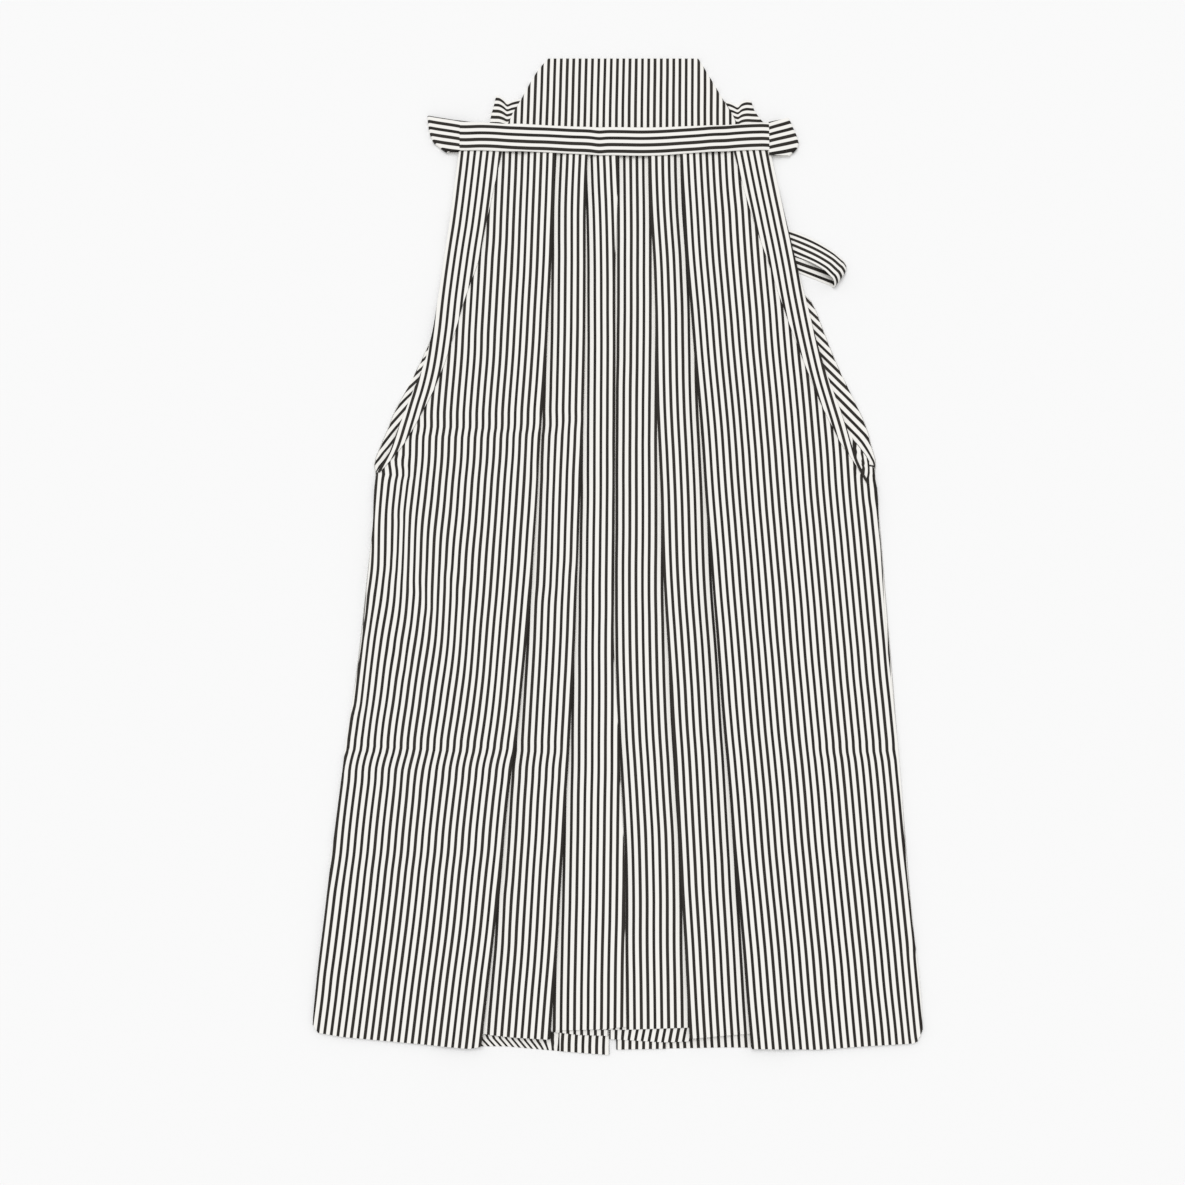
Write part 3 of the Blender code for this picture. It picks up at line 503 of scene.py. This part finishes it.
def turn(fold, side, z_from, z_to, grain=None):
    """Stations round a fold whose outermost line is x fold(s), between two heights.

    A pleat keeps its upper layer's grain: its edge stripe covers the fold, as painted shade.
    """
    stations = []
    flat = inside(fold, side)
    for index in range(1, FOLD_STEPS):
        angle = math.pi * index / FOLD_STEPS
        above = side * index <= side * FOLD_STEPS / 2

        def x(s, angle=angle):
            return flat(s) + side * TURN * math.sin(angle)

        def z(s, angle=angle):
            return arc(z_from(flat(s), s), z_to(flat(s), s), angle)

        # The dark edge stripe is stretched over the whole turn, as painted shade at the folded
        # edge.
        def u(s, x=x):
            return blend(grain(flat(s), s), grain(x(s), s), STRIPE_KEPT_AS_FOLD_SHADE)
        stations.append(Station(x, z, u if grain and above else None))
    return stations


def seam_lip(edge, side, height, grain):
    """Stations that roll the cloth down at a side edge, from underneath to the top."""
    return [station(shifted(edge, -side * inset), lambda x, s, drop=drop: height(x, s) - drop,
                    grain) for drop, inset in SEAM_LIP]


# ---- cloth
CREAM = (0.82, 0.805, 0.77)
DARK = (0.014, 0.012, 0.010)
THREAD_BROWN = (0.02, 0.016, 0.015)
# In pitches: half a dark stripe's width, how much that varies, how soft its edge is, and how
# far the stripes and their single threads stray.
HALF_STRIPE, BAND_HALF_STRIPE = 0.212, 0.232
UNEVEN, BLUR, WANDER, RAGGED = 0.03, 0.03, 0.10, 0.015


def tint(colour, strength=1.0):
    """A colour made darker or lighter, with its alpha."""
    return tuple(min(channel * strength, 1.0) for channel in colour) + (1.0,)


class Nodes:
    """A new material, and a small helper that adds shader nodes and links them."""

    def __init__(self, name):
        self.material = bpy.data.materials.new(name)
        self.material.use_nodes = True
        self.tree = self.material.node_tree
        self.shader = self.tree.nodes["Principled BSDF"]

    def fill(self, node, values):
        """Give a node's sockets their links or values."""
        for socket, value in values.items():
            if isinstance(value, bpy.types.NodeSocket):
                self.tree.links.new(value, node.inputs[socket])
            else:
                node.inputs[socket].default_value = value

    def add(self, kind, values, output=0, **settings):
        """Add a node and return one of its outputs."""
        node = self.tree.nodes.new(kind)
        for key, value in settings.items():
            setattr(node, key, value)
        self.fill(node, values)
        return node.outputs[output]

    def math(self, operation, *values):
        return self.add("ShaderNodeMath", dict(enumerate(values)), operation=operation)

    def noise(self, place, scale, detail):
        return self.add("ShaderNodeTexNoise", {"Vector": place, "Scale": scale, "Detail": detail})

    def stretched(self, place, u, v):
        """A place on the cloth, scaled along each direction."""
        return self.add("ShaderNodeVectorMath", {0: place, 1: (u, v, 1.0)}, operation="MULTIPLY")

    def wave(self, along, count):
        return self.math("SINE", self.math("MULTIPLY", along, 2 * math.pi * count))

    def mix(self, share, first, second):
        return self.add("ShaderNodeMix", {0: share, 6: first, 7: second}, 2, data_type="RGBA")

    def bump(self, height, strength, distance):
        values = {"Height": height, "Strength": strength, "Distance": distance}
        return self.add("ShaderNodeBump", values)


def striped_cloth(name, half_stripe=HALF_STRIPE):
    """Woven cloth with a dark stripe at each whole number of its stripe coordinate."""
    nodes = Nodes(name)
    place = nodes.add("ShaderNodeUVMap", {}, uv_map="cloth")
    u = nodes.add("ShaderNodeSeparateXYZ", {0: place})
    v = u.node.outputs[1]

    # Threads wander a little, so that the stripes' edges aren't ruled lines.
    drift = nodes.noise(place, scale=0.11, detail=1.0)
    wander = nodes.math("MULTIPLY_ADD", drift, WANDER, -WANDER / 2)
    fine = nodes.noise(nodes.stretched(place, u=3.0, v=14.0), scale=1.0, detail=2.0)
    ragged = nodes.math("MULTIPLY_ADD", fine, RAGGED, -RAGGED / 2)
    moved = nodes.math("ADD", nodes.math("ADD", u, wander), ragged)
    number = nodes.math("FLOOR", nodes.math("ADD", moved, 0.5))
    chance = nodes.add("ShaderNodeTexWhiteNoise", {"W": number}, noise_dimensions="1D")
    offset = nodes.math("ABSOLUTE", nodes.math("SUBTRACT", moved, number))
    half = nodes.math("MULTIPLY_ADD", chance, UNEVEN, half_stripe)
    edge = nodes.math("SUBTRACT", offset, half)
    stripe = nodes.add("ShaderNodeMapRange", {0: edge, 1: -BLUR, 2: BLUR, 3: 1.0, 4: 0.0},
                       interpolation_type="SMOOTHSTEP")

    # Fine ribs along and across, with slubs drawn out along the threads.
    slub = nodes.noise(nodes.stretched(place, u=22.0, v=0.9), scale=1.0, detail=3.0)
    ribs, warp = nodes.wave(v, count=13.0), nodes.wave(u, count=18.0)
    weave = nodes.math("ADD", nodes.math("MULTIPLY", ribs, 0.6), nodes.math("MULTIPLY", warp, 0.4))
    raised = nodes.math("ADD", nodes.math("MULTIPLY", weave, 0.35), slub)

    cream = nodes.mix(slub, tint(CREAM, 0.94), tint(CREAM, 1.05))
    dark = nodes.mix(nodes.math("MULTIPLY", chance, slub), tint(DARK), tint(DARK, 2.6))
    nodes.fill(nodes.shader, {
        "Base Color": nodes.mix(stripe, cream, dark),
        "Normal": nodes.bump(raised, strength=0.25, distance=0.00006),
        "Roughness": 0.62, "Specular IOR Level": 0.12, "Sheen Weight": 0.05,
        "Sheen Roughness": 0.45})
    return nodes.material


def thread():
    """Dull twisted thread."""
    nodes = Nodes("thread")
    twist = nodes.noise(nodes.add("ShaderNodeTexCoord", {}, "Object"), scale=2500.0, detail=2.0)
    nodes.fill(nodes.shader, {"Base Color": tint(THREAD_BROWN), "Roughness": 0.7,
                              "Normal": nodes.bump(twist, strength=0.4, distance=0.0001)})
    return nodes.material


FRONT_CLOTH, BACK_CLOTH, BOARD_CLOTH = (
    striped_cloth(name) for name in ("striped_cloth", "back_cloth", "board_cloth"))
BAND_CLOTH = striped_cloth("band_cloth", BAND_HALF_STRIPE)


# ---- sheets of cloth
def spread_stripes(x, z, u, sense):
    """Fill the hidden stations' stripe coordinate, so that the cloth is not torn there."""
    known = [index for index in range(u.shape[1]) if not np.isnan(u[0, index])]
    steps = np.hypot(np.diff(x, axis=1), np.diff(z, axis=1))
    along = np.concatenate([np.zeros((len(x), 1)), np.cumsum(steps, axis=1)], axis=1)
    for before, after in zip(known, known[1:]):
        if after == before + 1:
            continue
        length = along[:, after] - along[:, before]
        natural = sense * length / PITCH
        u[:, after:] += round(np.mean(natural - (u[:, after] - u[:, before])))
        for index in range(before + 1, after):
            share = (along[:, index] - along[:, before]) / length
            u[:, index] = blend(u[:, before], u[:, after], share)
    last = known[-1]
    u[:, last:] = u[:, [last]] + sense * (along[:, last:] - along[:, [last]]) / PITCH


def new_piece(name, mesh, material):
    """An object of a mesh, linked into the scene."""
    mesh.materials.append(material)
    piece = bpy.data.objects.new(name, mesh)
    SCENE.collection.objects.link(piece)
    return piece


def modify(piece, kind, **settings):
    """Change a piece's own mesh by a modifier."""
    modifier = piece.modifiers.new(kind, kind)
    for key, value in settings.items():
        setattr(modifier, key, value)
    bpy.context.view_layer.update()
    graph = bpy.context.evaluated_depsgraph_get()
    mesh = bpy.data.meshes.new_from_object(piece.evaluated_get(graph))
    old = piece.data
    piece.modifiers.clear()
    piece.data = mesh
    bpy.data.meshes.remove(old)


def shade(piece, degrees):
    """Shade a piece smooth, but for edges sharper than an angle."""
    piece.data.shade_smooth()
    piece.data.set_sharp_from_angle(angle=math.radians(degrees))


def sheet_mesh(node, x, s, z, u, wall, material):
    """A closed shell of cloth round a grid of points, for the place of a CAD node."""
    name = node + "_cloth"
    rows, columns = x.shape
    points = np.stack([x, WAIST_TO_CENTRE - s, z], axis=-1).reshape(-1, 3) * MM
    corner = np.arange(rows * columns).reshape(rows, columns)
    faces = np.stack([corner[:-1, :-1], corner[1:, :-1], corner[1:, 1:], corner[:-1, 1:]],
                     axis=-1).reshape(-1, 4)
    mesh = bpy.data.meshes.new(name)
    mesh.from_pydata(points.tolist(), [], faces.tolist())
    layer = mesh.uv_layers.new(name="cloth")
    uv = np.stack([u.reshape(-1), (s / PITCH).reshape(-1)], axis=-1)
    loops = np.zeros(len(mesh.loops), np.int32)
    mesh.loops.foreach_get("vertex_index", loops)
    layer.data.foreach_set("uv", uv[loops].reshape(-1))
    piece = new_piece(name, mesh, material)
    modify(piece, "SOLIDIFY", thickness=wall * MM, offset=0.0, use_even_offset=True)
    shade(piece, 55)
    return piece


class Section:
    """Stations across a piece of cloth, with the s of the hem on which each of them ends."""

    def __init__(self):
        self.stations, self.hems = [], []

    def add(self, stations, points=None):
        """Add stations that end on a hem, or without its points between their neighbours'."""
        for added in stations:
            self.stations.append(added)
            self.hems.append(np.interp(added.x(HEM_PROBE), *zip(*points)) if points else np.nan)

    def hang(self, node, top, count, material, sense=1):
        """One sheet of cloth: each station is followed down from the top to its own hem."""
        hems = np.array(self.hems)
        known = np.flatnonzero(~np.isnan(hems))
        hems = np.interp(np.arange(len(hems)), known, hems[known])
        share = shares(count)
        columns = [blend(top, hem, share) for hem in hems]
        x, z, u = (np.stack([np.full(count, np.nan) if follow is None else follow(column)
                             for follow, column in zip(follows, columns)], axis=1)
                   for follows in zip(*self.stations))
        spread_stripes(x, z, u, sense)
        return sheet_mesh(node, x, np.stack(columns, axis=1), z, u, WALL, material)


# ---- the front
def tucked(fold, side, first, second):
    """A pleat's hidden fold, beside a panel between two fold lines."""
    return lambda s: fold(s) - side * (UNDERLAP * (second(s) - first(s)))


def front_panel(lines, fold, grain, order):
    """Stations of a panel, which climbs off the pleat beside it and lifts towards its fold.

    The lines are its low side, the foot and the crest of its climb, the start of its lifted
    edge and the edge.  They are followed backwards where `order` is -1.
    """
    heights = (LOW, climbing(lines[1], lines[2]), TOP, lifted(TOP, fold))[::order]
    steps = (STEP, CLIMB_STEP, STEP, FINE_STEP)[::order]
    lines = lines[::order]
    stations = []
    for index, height in enumerate(heights):
        stations += run(lines[index], lines[index + 1], height, grain, index > 0, steps[index])
    return stations


def front_leg_right():
    """Side panel, pleat a, second panel, pleat b, middle panel and pleat c."""
    fold_a, fold_b = (shifted(curve(GRAIN, name), FOLD_BEYOND) for name in "ab")
    fold_c, opening = curve(EDGES, "c"), curve(EDGES, "outer_r")
    outer = lambda s: opening(s) + SIDE_INSET * (1 - ease(*OPENING_FADE_R, s))
    hidden_a, hidden_b = (tucked(fold, 1, fold_a, fold_b) for fold in (fold_a, fold_b))
    hidden_c = tucked(fold_c, 1, fold_b, fold_c)

    section = Section()
    section.add(seam_lip(outer, -1, LOW, rippled("a", -1)), HEM_SIDE_R)
    start, foot = shifted(outer, 1.0), shifted(shifted(hidden_a, -CREST_GAP), -RAMP)
    for fold, hidden, near, column, points in (
            (fold_a, hidden_a, LIFT_FROM_A, "a", HEM_SIDE_R),
            (fold_b, hidden_b, LIFT_FROM, "b", HEM_MIDDLE_R),
            (fold_c, hidden_c, LIFT_FROM, "c", HEM_CENTRE_R)):
        grain = rippled(column, -1)
        lines = (start, foot, shifted(hidden, -CREST_GAP), shifted(fold, -near),
                 inside(fold, 1))
        section.add(front_panel(lines, fold, grain, 1), points)
        section.add(turn(fold, 1, lifted(TOP, fold), MIDDLE, grain))
        if fold is not fold_c:
            section.add(run(inside(fold, 1), inside(hidden, -1), MIDDLE))
            section.add(turn(hidden, -1, MIDDLE, LOW))
            start, foot = inside(hidden, -1), shifted(fold, 1.0)
    section.add(run(inside(fold_c, 1), hidden_c, MIDDLE), HEM_CENTRE_R)
    return section.hang("front_leg_right", PANEL_TOP, FRONT_ROWS, FRONT_CLOTH, -1)


def front_leg_left():
    """Middle panel, pleat d, fourth panel, pleat e and side panel."""
    fold_c, opening = curve(EDGES, "c"), curve(EDGES, "outer_l")
    fold_d, fold_e = (shifted(curve(GRAIN, name), -FOLD_BEYOND) for name in "de")
    outer = lambda s: opening(s) - SIDE_INSET * (1 - ease(*OPENING_FADE_L, s))
    start = tucked(fold_c, 1, curve(GRAIN, "b"), fold_c)
    hidden_d, hidden_e = (tucked(fold, -1, fold_d, fold_e) for fold in (fold_d, fold_e))

    section = Section()
    section.add(run(start, inside(hidden_d, 1), LOW, rippled("middle", 1)), HEM_CENTRE_L)
    for fold, hidden, foot, end, column, points in (
            (fold_d, hidden_d, shifted(fold_e, -1.0), inside(hidden_e, 1), "d", HEM_MIDDLE_L),
            (fold_e, hidden_e, shifted(shifted(hidden_e, CREST_GAP), RAMP), shifted(outer, -1.0),
             "e", HEM_SIDE_L)):
        grain = rippled(column, 1)
        lines = (end, foot, shifted(hidden, CREST_GAP), shifted(fold, LIFT_FROM),
                 inside(fold, -1))
        section.add(turn(hidden, 1, LOW, MIDDLE))
        section.add(run(inside(hidden, 1), inside(fold, -1), MIDDLE))
        section.add(turn(fold, -1, MIDDLE, lifted(TOP, fold), grain))
        section.add(front_panel(lines, fold, grain, -1), points)
    section.add(seam_lip(outer, 1, LOW, grain)[::-1], HEM_SIDE_L)
    return section.hang("front_leg_left", PANEL_TOP, FRONT_ROWS, FRONT_CLOTH)


def side_fold(name, side, rows):
    """The narrow fold over the side panel, joined to its edge by a turn at the outside."""
    outer, inner, line = (curve(rows, column) for column in ("outer", "inner", "grain"))
    under = lambda x, s: LOW(x, s) + 0.1
    stations = run(shifted(outer, -side * FOLD_TUCK), inside(outer, side), under, step=TUCK_STEP)
    stations += turn(outer, side, under, MIDDLE)
    stations += run(inside(outer, side), inner, MIDDLE, step=CLIMB_STEP)
    section = Section()
    section.add([Station(x, z, lambda s, x=x: side * (x(s) - line(s)) / PITCH)
                 for x, z, _ in stations], [(0, rows[-1].s)])
    return section.hang("side_fold_" + name, PANEL_TOP, FOLD_ROWS, FRONT_CLOTH)


# ---- the back and inner legs
def leaning(x, s, even):
    """The right back's stripes, which leave their even run to meet the ones at the hem."""
    lean, kink = (curve(HEM_STRIPES, column, "x")(x) for column in ("lean", "kink"))
    below = np.maximum(s - HEM_KINK_S, 0.0) - (HEM_STRIPE_S - HEM_KINK_S)
    at_hem = curve(HEM_STRIPES, "u", "x")(x - lean * (s - HEM_STRIPE_S) - kink * below)
    return blend(even, at_hem, ease(*HEM_STRIPE_BLEND, s))


def back_leg(name, side, slope, start, hem_points):
    """Facing, side edge, back panel, fold at the middle of the back, and its pleat."""
    edge, fold = curve(BACK, "edge_" + name), curve(BACK, "fold_" + name)
    line, gap = curve(FACINGS, "line_" + name), curve(FACINGS, "gap_" + name)
    low, high = level(BACK_Z), level(BACK_Z + LAYER)

    def grain(x, s):
        even = side * (x - start - slope * (s - OPENING_END)) / PITCH
        return leaning(x, s, even) if name == "right" else even

    def facing_grain(x, s):
        return side * (x - line(s)) / gap(s)

    section = Section()
    section.add(run(shifted(edge, -side * FACING), inside(edge, side), high, facing_grain,
                    step=FACING_STEP), hem_points)
    section.add(turn(edge, side, high, low))
    section.add(run(inside(edge, side), inside(fold, -side), low, grain), hem_points)
    section.add(turn(fold, -side, low, high))
    section.add(run(inside(fold, -side), shifted(fold, side * BACK_PLEAT), high), hem_points)
    return section.hang("back_leg_" + name, PANEL_TOP - 1.0, BACK_ROWS, BACK_CLOTH, -side)


def inner_leg(name, lean, hem_points):
    """The inner half of a leg, between the back and the front, from the crotch down."""
    def grain(x, s):
        leaned = lean * ease(*INNER_LEAN, x) * (s - INNER_STRIPE_S)
        return (x - INNER_STRIPE - leaned) / INNER_PITCH

    start, end = curve(INNER, name + "_start"), curve(INNER, name + "_end")
    section = Section()
    section.add(run(start, end, level(INNER_Z), grain), hem_points)
    return section.hang("inner_leg_" + name, CROTCH, INNER_ROWS, BACK_CLOTH)


# ---- board, band and ties
def back_board():
    """The stiff board at the back of the waist, covered in the striped cloth."""
    s = np.linspace(BOARD[0].s, BOARD[-1].s, 50)
    right, left = curve(BOARD, "right")(s), curve(BOARD, "left")(s)
    share = shares(41)
    x = blend(right[:, None], left[:, None], share)
    s = np.repeat(s[:, None], len(share), axis=1)
    z = np.full_like(x, BOARD_THICKNESS / 2)
    down = s - BOARD_STRIPE_S
    u = (x - BOARD_STRIPE_X + BOARD_LEAN * down) / (PITCH + BOARD_SPREAD * down)
    board = sheet_mesh("back_board", x, s, z, u, BOARD_THICKNESS, BOARD_CLOTH)
    modify(board, "BEVEL", width=BOARD_ROUNDING * MM, segments=4, limit_method="ANGLE",
           angle_limit=math.radians(50))
    return board


def band_underside(x):
    """Underside of the waistband where it lies on the tops of the panels."""
    side = FRONT_SIDE_Z + LAYER + BAND_REST
    middle = FRONT_MIDDLE_Z + 2 * LAYER + BAND_REST
    return blend(middle, side, ease(*BAND_DROP, np.abs(x)))


def loft(name, x, s, z, u, v, material):
    """A closed shell through a grid's rows, which are rings, with its ends filled."""
    count, corners = x.shape
    rings = np.stack([x, WAIST_TO_CENTRE - s, z], axis=-1)
    shape = bmesh.new()
    layer = shape.loops.layers.uv.new("cloth")
    verts = [[shape.verts.new(Vector(point) * MM) for point in ring] for ring in rings]
    faces = [((row, corner), (row + 1, corner), (row + 1, (corner + 1) % corners),
              (row, (corner + 1) % corners))
             for row in range(count - 1) for corner in range(corners)]
    faces.append([(0, corner) for corner in range(corners)])
    faces.append([(count - 1, corner) for corner in reversed(range(corners))])
    for ends in faces:
        face = shape.faces.new([verts[row][corner] for row, corner in ends])
        for loop, end in zip(face.loops, ends):
            loop[layer].uv = (u[end], v[end])
    bmesh.ops.recalc_face_normals(shape, faces=shape.faces)
    mesh = bpy.data.meshes.new(name)
    shape.to_mesh(mesh)
    shape.free()
    piece = new_piece(name, mesh, material)
    shade(piece, 50)
    return piece


def bar_tack():
    """A bar of wound thread at the lower end of the left side opening."""
    along = shares(41)
    around = np.linspace(0.0, 2 * math.pi, 12, endpoint=False)
    radius = TACK_RADIUS * (1 - (2 * along - 1) ** 8) ** 0.5 + TACK_TIP
    winding = 1 + TACK_WINDING * np.abs(np.sin(along * math.pi * TACK_TURNS))
    radius = (radius * winding)[:, None]
    x, s, z = (blend(*ends, along[:, None]) for ends in zip(TACK_START, TACK_END))
    x = np.repeat(x, len(around), axis=1)
    s = s + radius * np.cos(around)
    z = z + TACK_FLATNESS * radius * np.sin(around)
    flat = np.zeros_like(x)
    return loft("opening_tack", x, s, z, flat, flat, thread())


def waistband():
    """The front waistband: pressed layers of cloth round the tops of the panels."""
    x = np.linspace(BAND[0].x, BAND[-1].x, 160)
    top, line, bottom = (curve(BAND, name, "x")(x) for name in ("top", "line", "bottom"))
    under = band_underside(x)
    over = under + BAND_THICKNESS
    pad = np.full_like(x, BOARD_THICKNESS + 0.3)
    step = np.full_like(x, BAND_STEP)
    # Across the band: s and z at each corner, from the lower edge of its face round its upper
    # edge, which shows the ends of its layers, to its back.
    face = [(bottom - BAND_ROUND + share * (top - bottom + 2 * BAND_ROUND),
             over + BAND_CROWN * math.sin(math.pi * share) - 0.05)
            for share in shares(15)]
    ends = [(top + 0.45, over - 0.35), (top + 0.05, over - 0.9), (top + 0.35, over - 1.15),
            (top + 0.05, over - 1.45), (top + 0.2, (pad + over) / 2), (top + 0.6, pad)]
    back = [(step, pad), (step, under), (bottom - 0.9, under), (bottom - 0.25, under + 0.25),
            (bottom - 0.05, under + 0.6), (bottom - 0.4, under + 0.95), (bottom, under + 1.25),
            (bottom - 0.45, over - 0.3)]
    profile = face + ends + back
    s, z = (np.stack(values, axis=1) for values in zip(*profile))
    x = np.repeat(x[:, None], len(profile), axis=1)
    u = (s - line[:, None]) / BAND_PITCH
    return loft("front_band_cloth", x, s, z, u, x / PITCH, BAND_CLOTH)


def folded_strip(node, rows, wall):
    """A strip of the band's cloth from rows of (x, s, z, u) points."""
    return sheet_mesh(node, *np.moveaxis(np.array(rows), -1, 0), wall, BAND_CLOTH)


def bent(centre, reach, s, z_over, z_under, stripe):
    """Points of a strip round its fold, down from the upper layer's last one."""
    return [(centre + reach * math.sin(angle), s,
             arc(z_over, z_under, angle), stripe) for angle in np.linspace(0.0, math.pi, 9)[1:]]


def front_tie(tie):
    """The end of a front tie: it passes the band's end, folds under and goes back in."""
    z_in = band_underside(tie.crease) + BAND_THICKNESS / 2
    radius = (TIE_OVER_Z - TIE_UNDER_Z) / 2
    fold_at = smooth(shares(len(tie.folds)), tie.folds)
    rows = []
    for share in shares(25):
        centre = fold_at(share) - tie.side * (radius + TIE_WALL / 2)
        s_in = blend(tie.top_in, tie.bottom_in, share)
        s_out = blend(tie.top_out, tie.bottom_out, share)
        row = []
        for t in shares(13):
            x, s = blend(tie.crease, centre, t), blend(s_in, s_out, t)
            beyond = (x - tie.crease) / (tie.folds[1] - tie.crease)
            line = blend(tie.line_in, tie.line_out, beyond)
            stripe = (s - line) / blend(tie.pitch_in, tie.pitch_out, t)
            row.append((x, s, blend(z_in, TIE_OVER_Z, ease(0.0, 1.0, t)), stripe))
        row += bent(centre, tie.side * radius, s_out, TIE_OVER_Z, TIE_UNDER_Z, stripe)
        for t in shares(8)[1:]:
            row.append((blend(centre, tie.hidden, t), blend(s_out, s_in, t), TIE_UNDER_Z, stripe))
        rows.append(row)
    return folded_strip("front_tie_" + tie.name, rows, TIE_WALL)


def back_tie(tie):
    """The start of a back tie: it leaves the board's side, folds over and goes under the band."""
    z_under = STUB_WALL / 2 + 0.1
    z_over = z_under + STUB_GAP
    fold_x, fold_s = zip(*tie.fold)
    board_edge, fold_line = curve(BOARD, tie.name), smooth(fold_s, fold_x)
    top_edge = smooth(*zip(*tie.top_edge))
    bottom = BOARD[-1].s - 1.0
    first = tie.top_edge[0 if tie.side < 0 else -1][1]
    rows = []
    for down in shares(34):
        level_s = blend(first, bottom, down)
        start = board_edge(level_s) + tie.side * 0.8
        centre = fold_line(level_s) - tie.side * (STUB_GAP + STUB_WALL) / 2
        stripe = (level_s - first - STUB_LINE) / tie.pitch
        upper = 1 - ease(*STUB_CALM, down)
        row = []
        for across in shares(22):
            x = blend(start, centre, across)
            dip = (top_edge(x) - first) * (1 - down) ** STUB_FADE
            away = (x - tie.crease) * tie.side
            outside = min(max(away / STUB_BULGE_WIDTH, 0.0), 1.0)
            rise = (STUB_BULGE * math.sin(math.pi * outside)
                    - STUB_VALLEY * math.exp(-(away / STUB_VALLEY_WIDTH) ** 2))
            row.append((x, level_s + dip, z_over + upper * rise, stripe))
        _, end_s, end_z, _ = row[-1]
        row += bent(centre, tie.side * STUB_GAP / 2, end_s, end_z, z_under, stripe)
        # The tucked layer goes back under every fifth point of the upper one.
        row += [(x, s, z_under, stripe) for x, s, _, _ in row[20::-5]]
        rows.append(row)
    return folded_strip("back_tie_" + tie.name, rows, STUB_WALL)


def side_tie():
    """A tie that comes out of the side opening, stands up a little and folds back in."""
    z_over = LOOP_UNDER_Z + LAYER
    columns = {name: curve(LOOP, name, "share") for name in LOOP[0]._fields}
    rows = []
    for share in shares(22):
        line = LOOP[0]._replace(**{name: at(share) for name, at in columns.items()})
        centre = line.fold_x - LOOP_BULGE - WALL / 2
        stripe = LOOP_STRIPES * share + LOOP_STRIPE
        under_s = line.fold_s + line.drop
        row = []
        for t in shares(26):
            bow = LOOP_ROLL * ease(*LOOP_NEAR, t) - LOOP_BOW * math.sin(math.pi * t)
            row.append((blend(line.in_x, centre, t),
                        blend(line.in_s, line.fold_s - LOOP_ROLL, t) + bow,
                        z_over + line.lift * ease(*LOOP_RISE, t), stripe))
        for angle in np.linspace(0.0, math.pi, 13)[1:-1]:
            row.append((centre + LOOP_BULGE * math.sin(angle),
                        line.fold_s + (1 - math.cos(angle)) / 2 * line.drop
                        + LOOP_HOOK * math.sin(angle),
                        arc(z_over + line.lift, LOOP_UNDER_Z, angle), stripe))
        for t in shares(16):
            row.append((blend(centre, line.out_x, t), blend(under_s, line.out_s, t),
                        LOOP_UNDER_Z, stripe))
        rows.append(row)
    return folded_strip("side_tie", rows, LOOP_WALL)


# ---- dressing the frame
def dress(slot, held, *rows):
    """Attach pieces of cloth to the root, and hide the CAD nodes that they are named after."""
    for piece, flat, area, *rests_on in rows:
        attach(piece, "root")
        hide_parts(piece.name.removesuffix("_cloth"))
        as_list(rests_on)


# Each row is a piece, its flat size and area in metres, and what it rests on.
dress("back_cloth", "laid",
      (back_leg("right", -1, -0.089, -243.0, HEM_BACK_R), (0.36, 0.92), 0.26, "floor"),
      (back_leg("left", 1, 0.055, 265.5, HEM_BACK_L), (0.36, 0.92), 0.27, "floor"),
      (inner_leg("right", 0.0, HEM_INNER_R), (0.056, 0.372), 0.017, "back_leg_right"),
      (inner_leg("left", -0.20, HEM_INNER_L), (0.08, 0.378), 0.024, "back_leg_left"))
dress("striped_cloth", "folded",
      (front_leg_right(), (0.50, 0.918), 0.34, "inner_leg_right"),
      (front_leg_left(), (0.46, 0.918), 0.32, "inner_leg_left"),
      (side_fold("right", -1, FOLD_RIGHT), (0.05, 0.36), 0.0125, "front_leg_right"),
      (side_fold("left", 1, FOLD_LEFT), (0.045, 0.36), 0.012, "front_leg_left"))
dress("board_cloth", "laid",
      (back_board(), (0.25, 0.098), 0.021, "back_leg_right", "back_leg_left"))
dress("band_cloth", "folded",
      (waistband(), (0.327, 0.037), 0.0113, "front_leg_right", "front_leg_left"),
      *((front_tie(tie), (0.08, 0.035), 0.0027, "floor") for tie in TIE_ENDS),
      *((back_tie(tie), (0.06, 0.055), 0.0028, "floor") for tie in BACK_TIES),
      (side_tie(), (0.13, 0.031), 0.0038, "floor"))

tack = bar_tack()
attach(tack, "root")


# ---- stage and light
SUN_DIRECTION, SUN_WIDTH, SUN_STRENGTH = (-0.25, 0.42, 1.6), 42.0, 1.41
SKY_STRENGTH = 0.72
FLOOR_TONE = (0.83, 0.83, 0.83)


def stage():
    """A plain pale floor under soft light from above."""
    bpy.ops.mesh.primitive_plane_add(size=60.0, location=(0.0, 0.0, 0.0))
    floor = bpy.context.object
    floor.name = "floor"
    paint = Nodes("floor")
    paint.fill(paint.shader, {"Base Color": tint(FLOOR_TONE), "Roughness": 0.9,
                              "Specular IOR Level": 0.1})
    floor.data.materials.append(paint.material)
    world = bpy.data.worlds.new("studio")
    SCENE.world = world
    world.use_nodes = True
    background = world.node_tree.nodes["Background"]
    background.inputs["Color"].default_value = (1.0, 1.0, 1.0, 1.0)
    background.inputs["Strength"].default_value = SKY_STRENGTH
    lamp = bpy.data.lights.new("sky window", "SUN")
    lamp.angle, lamp.energy = math.radians(SUN_WIDTH), SUN_STRENGTH
    light = bpy.data.objects.new("sky window", lamp)
    look(light, -Vector(SUN_DIRECTION))
    SCENE.collection.objects.link(light)
    SCENE.view_settings.view_transform = "Standard"


stage()
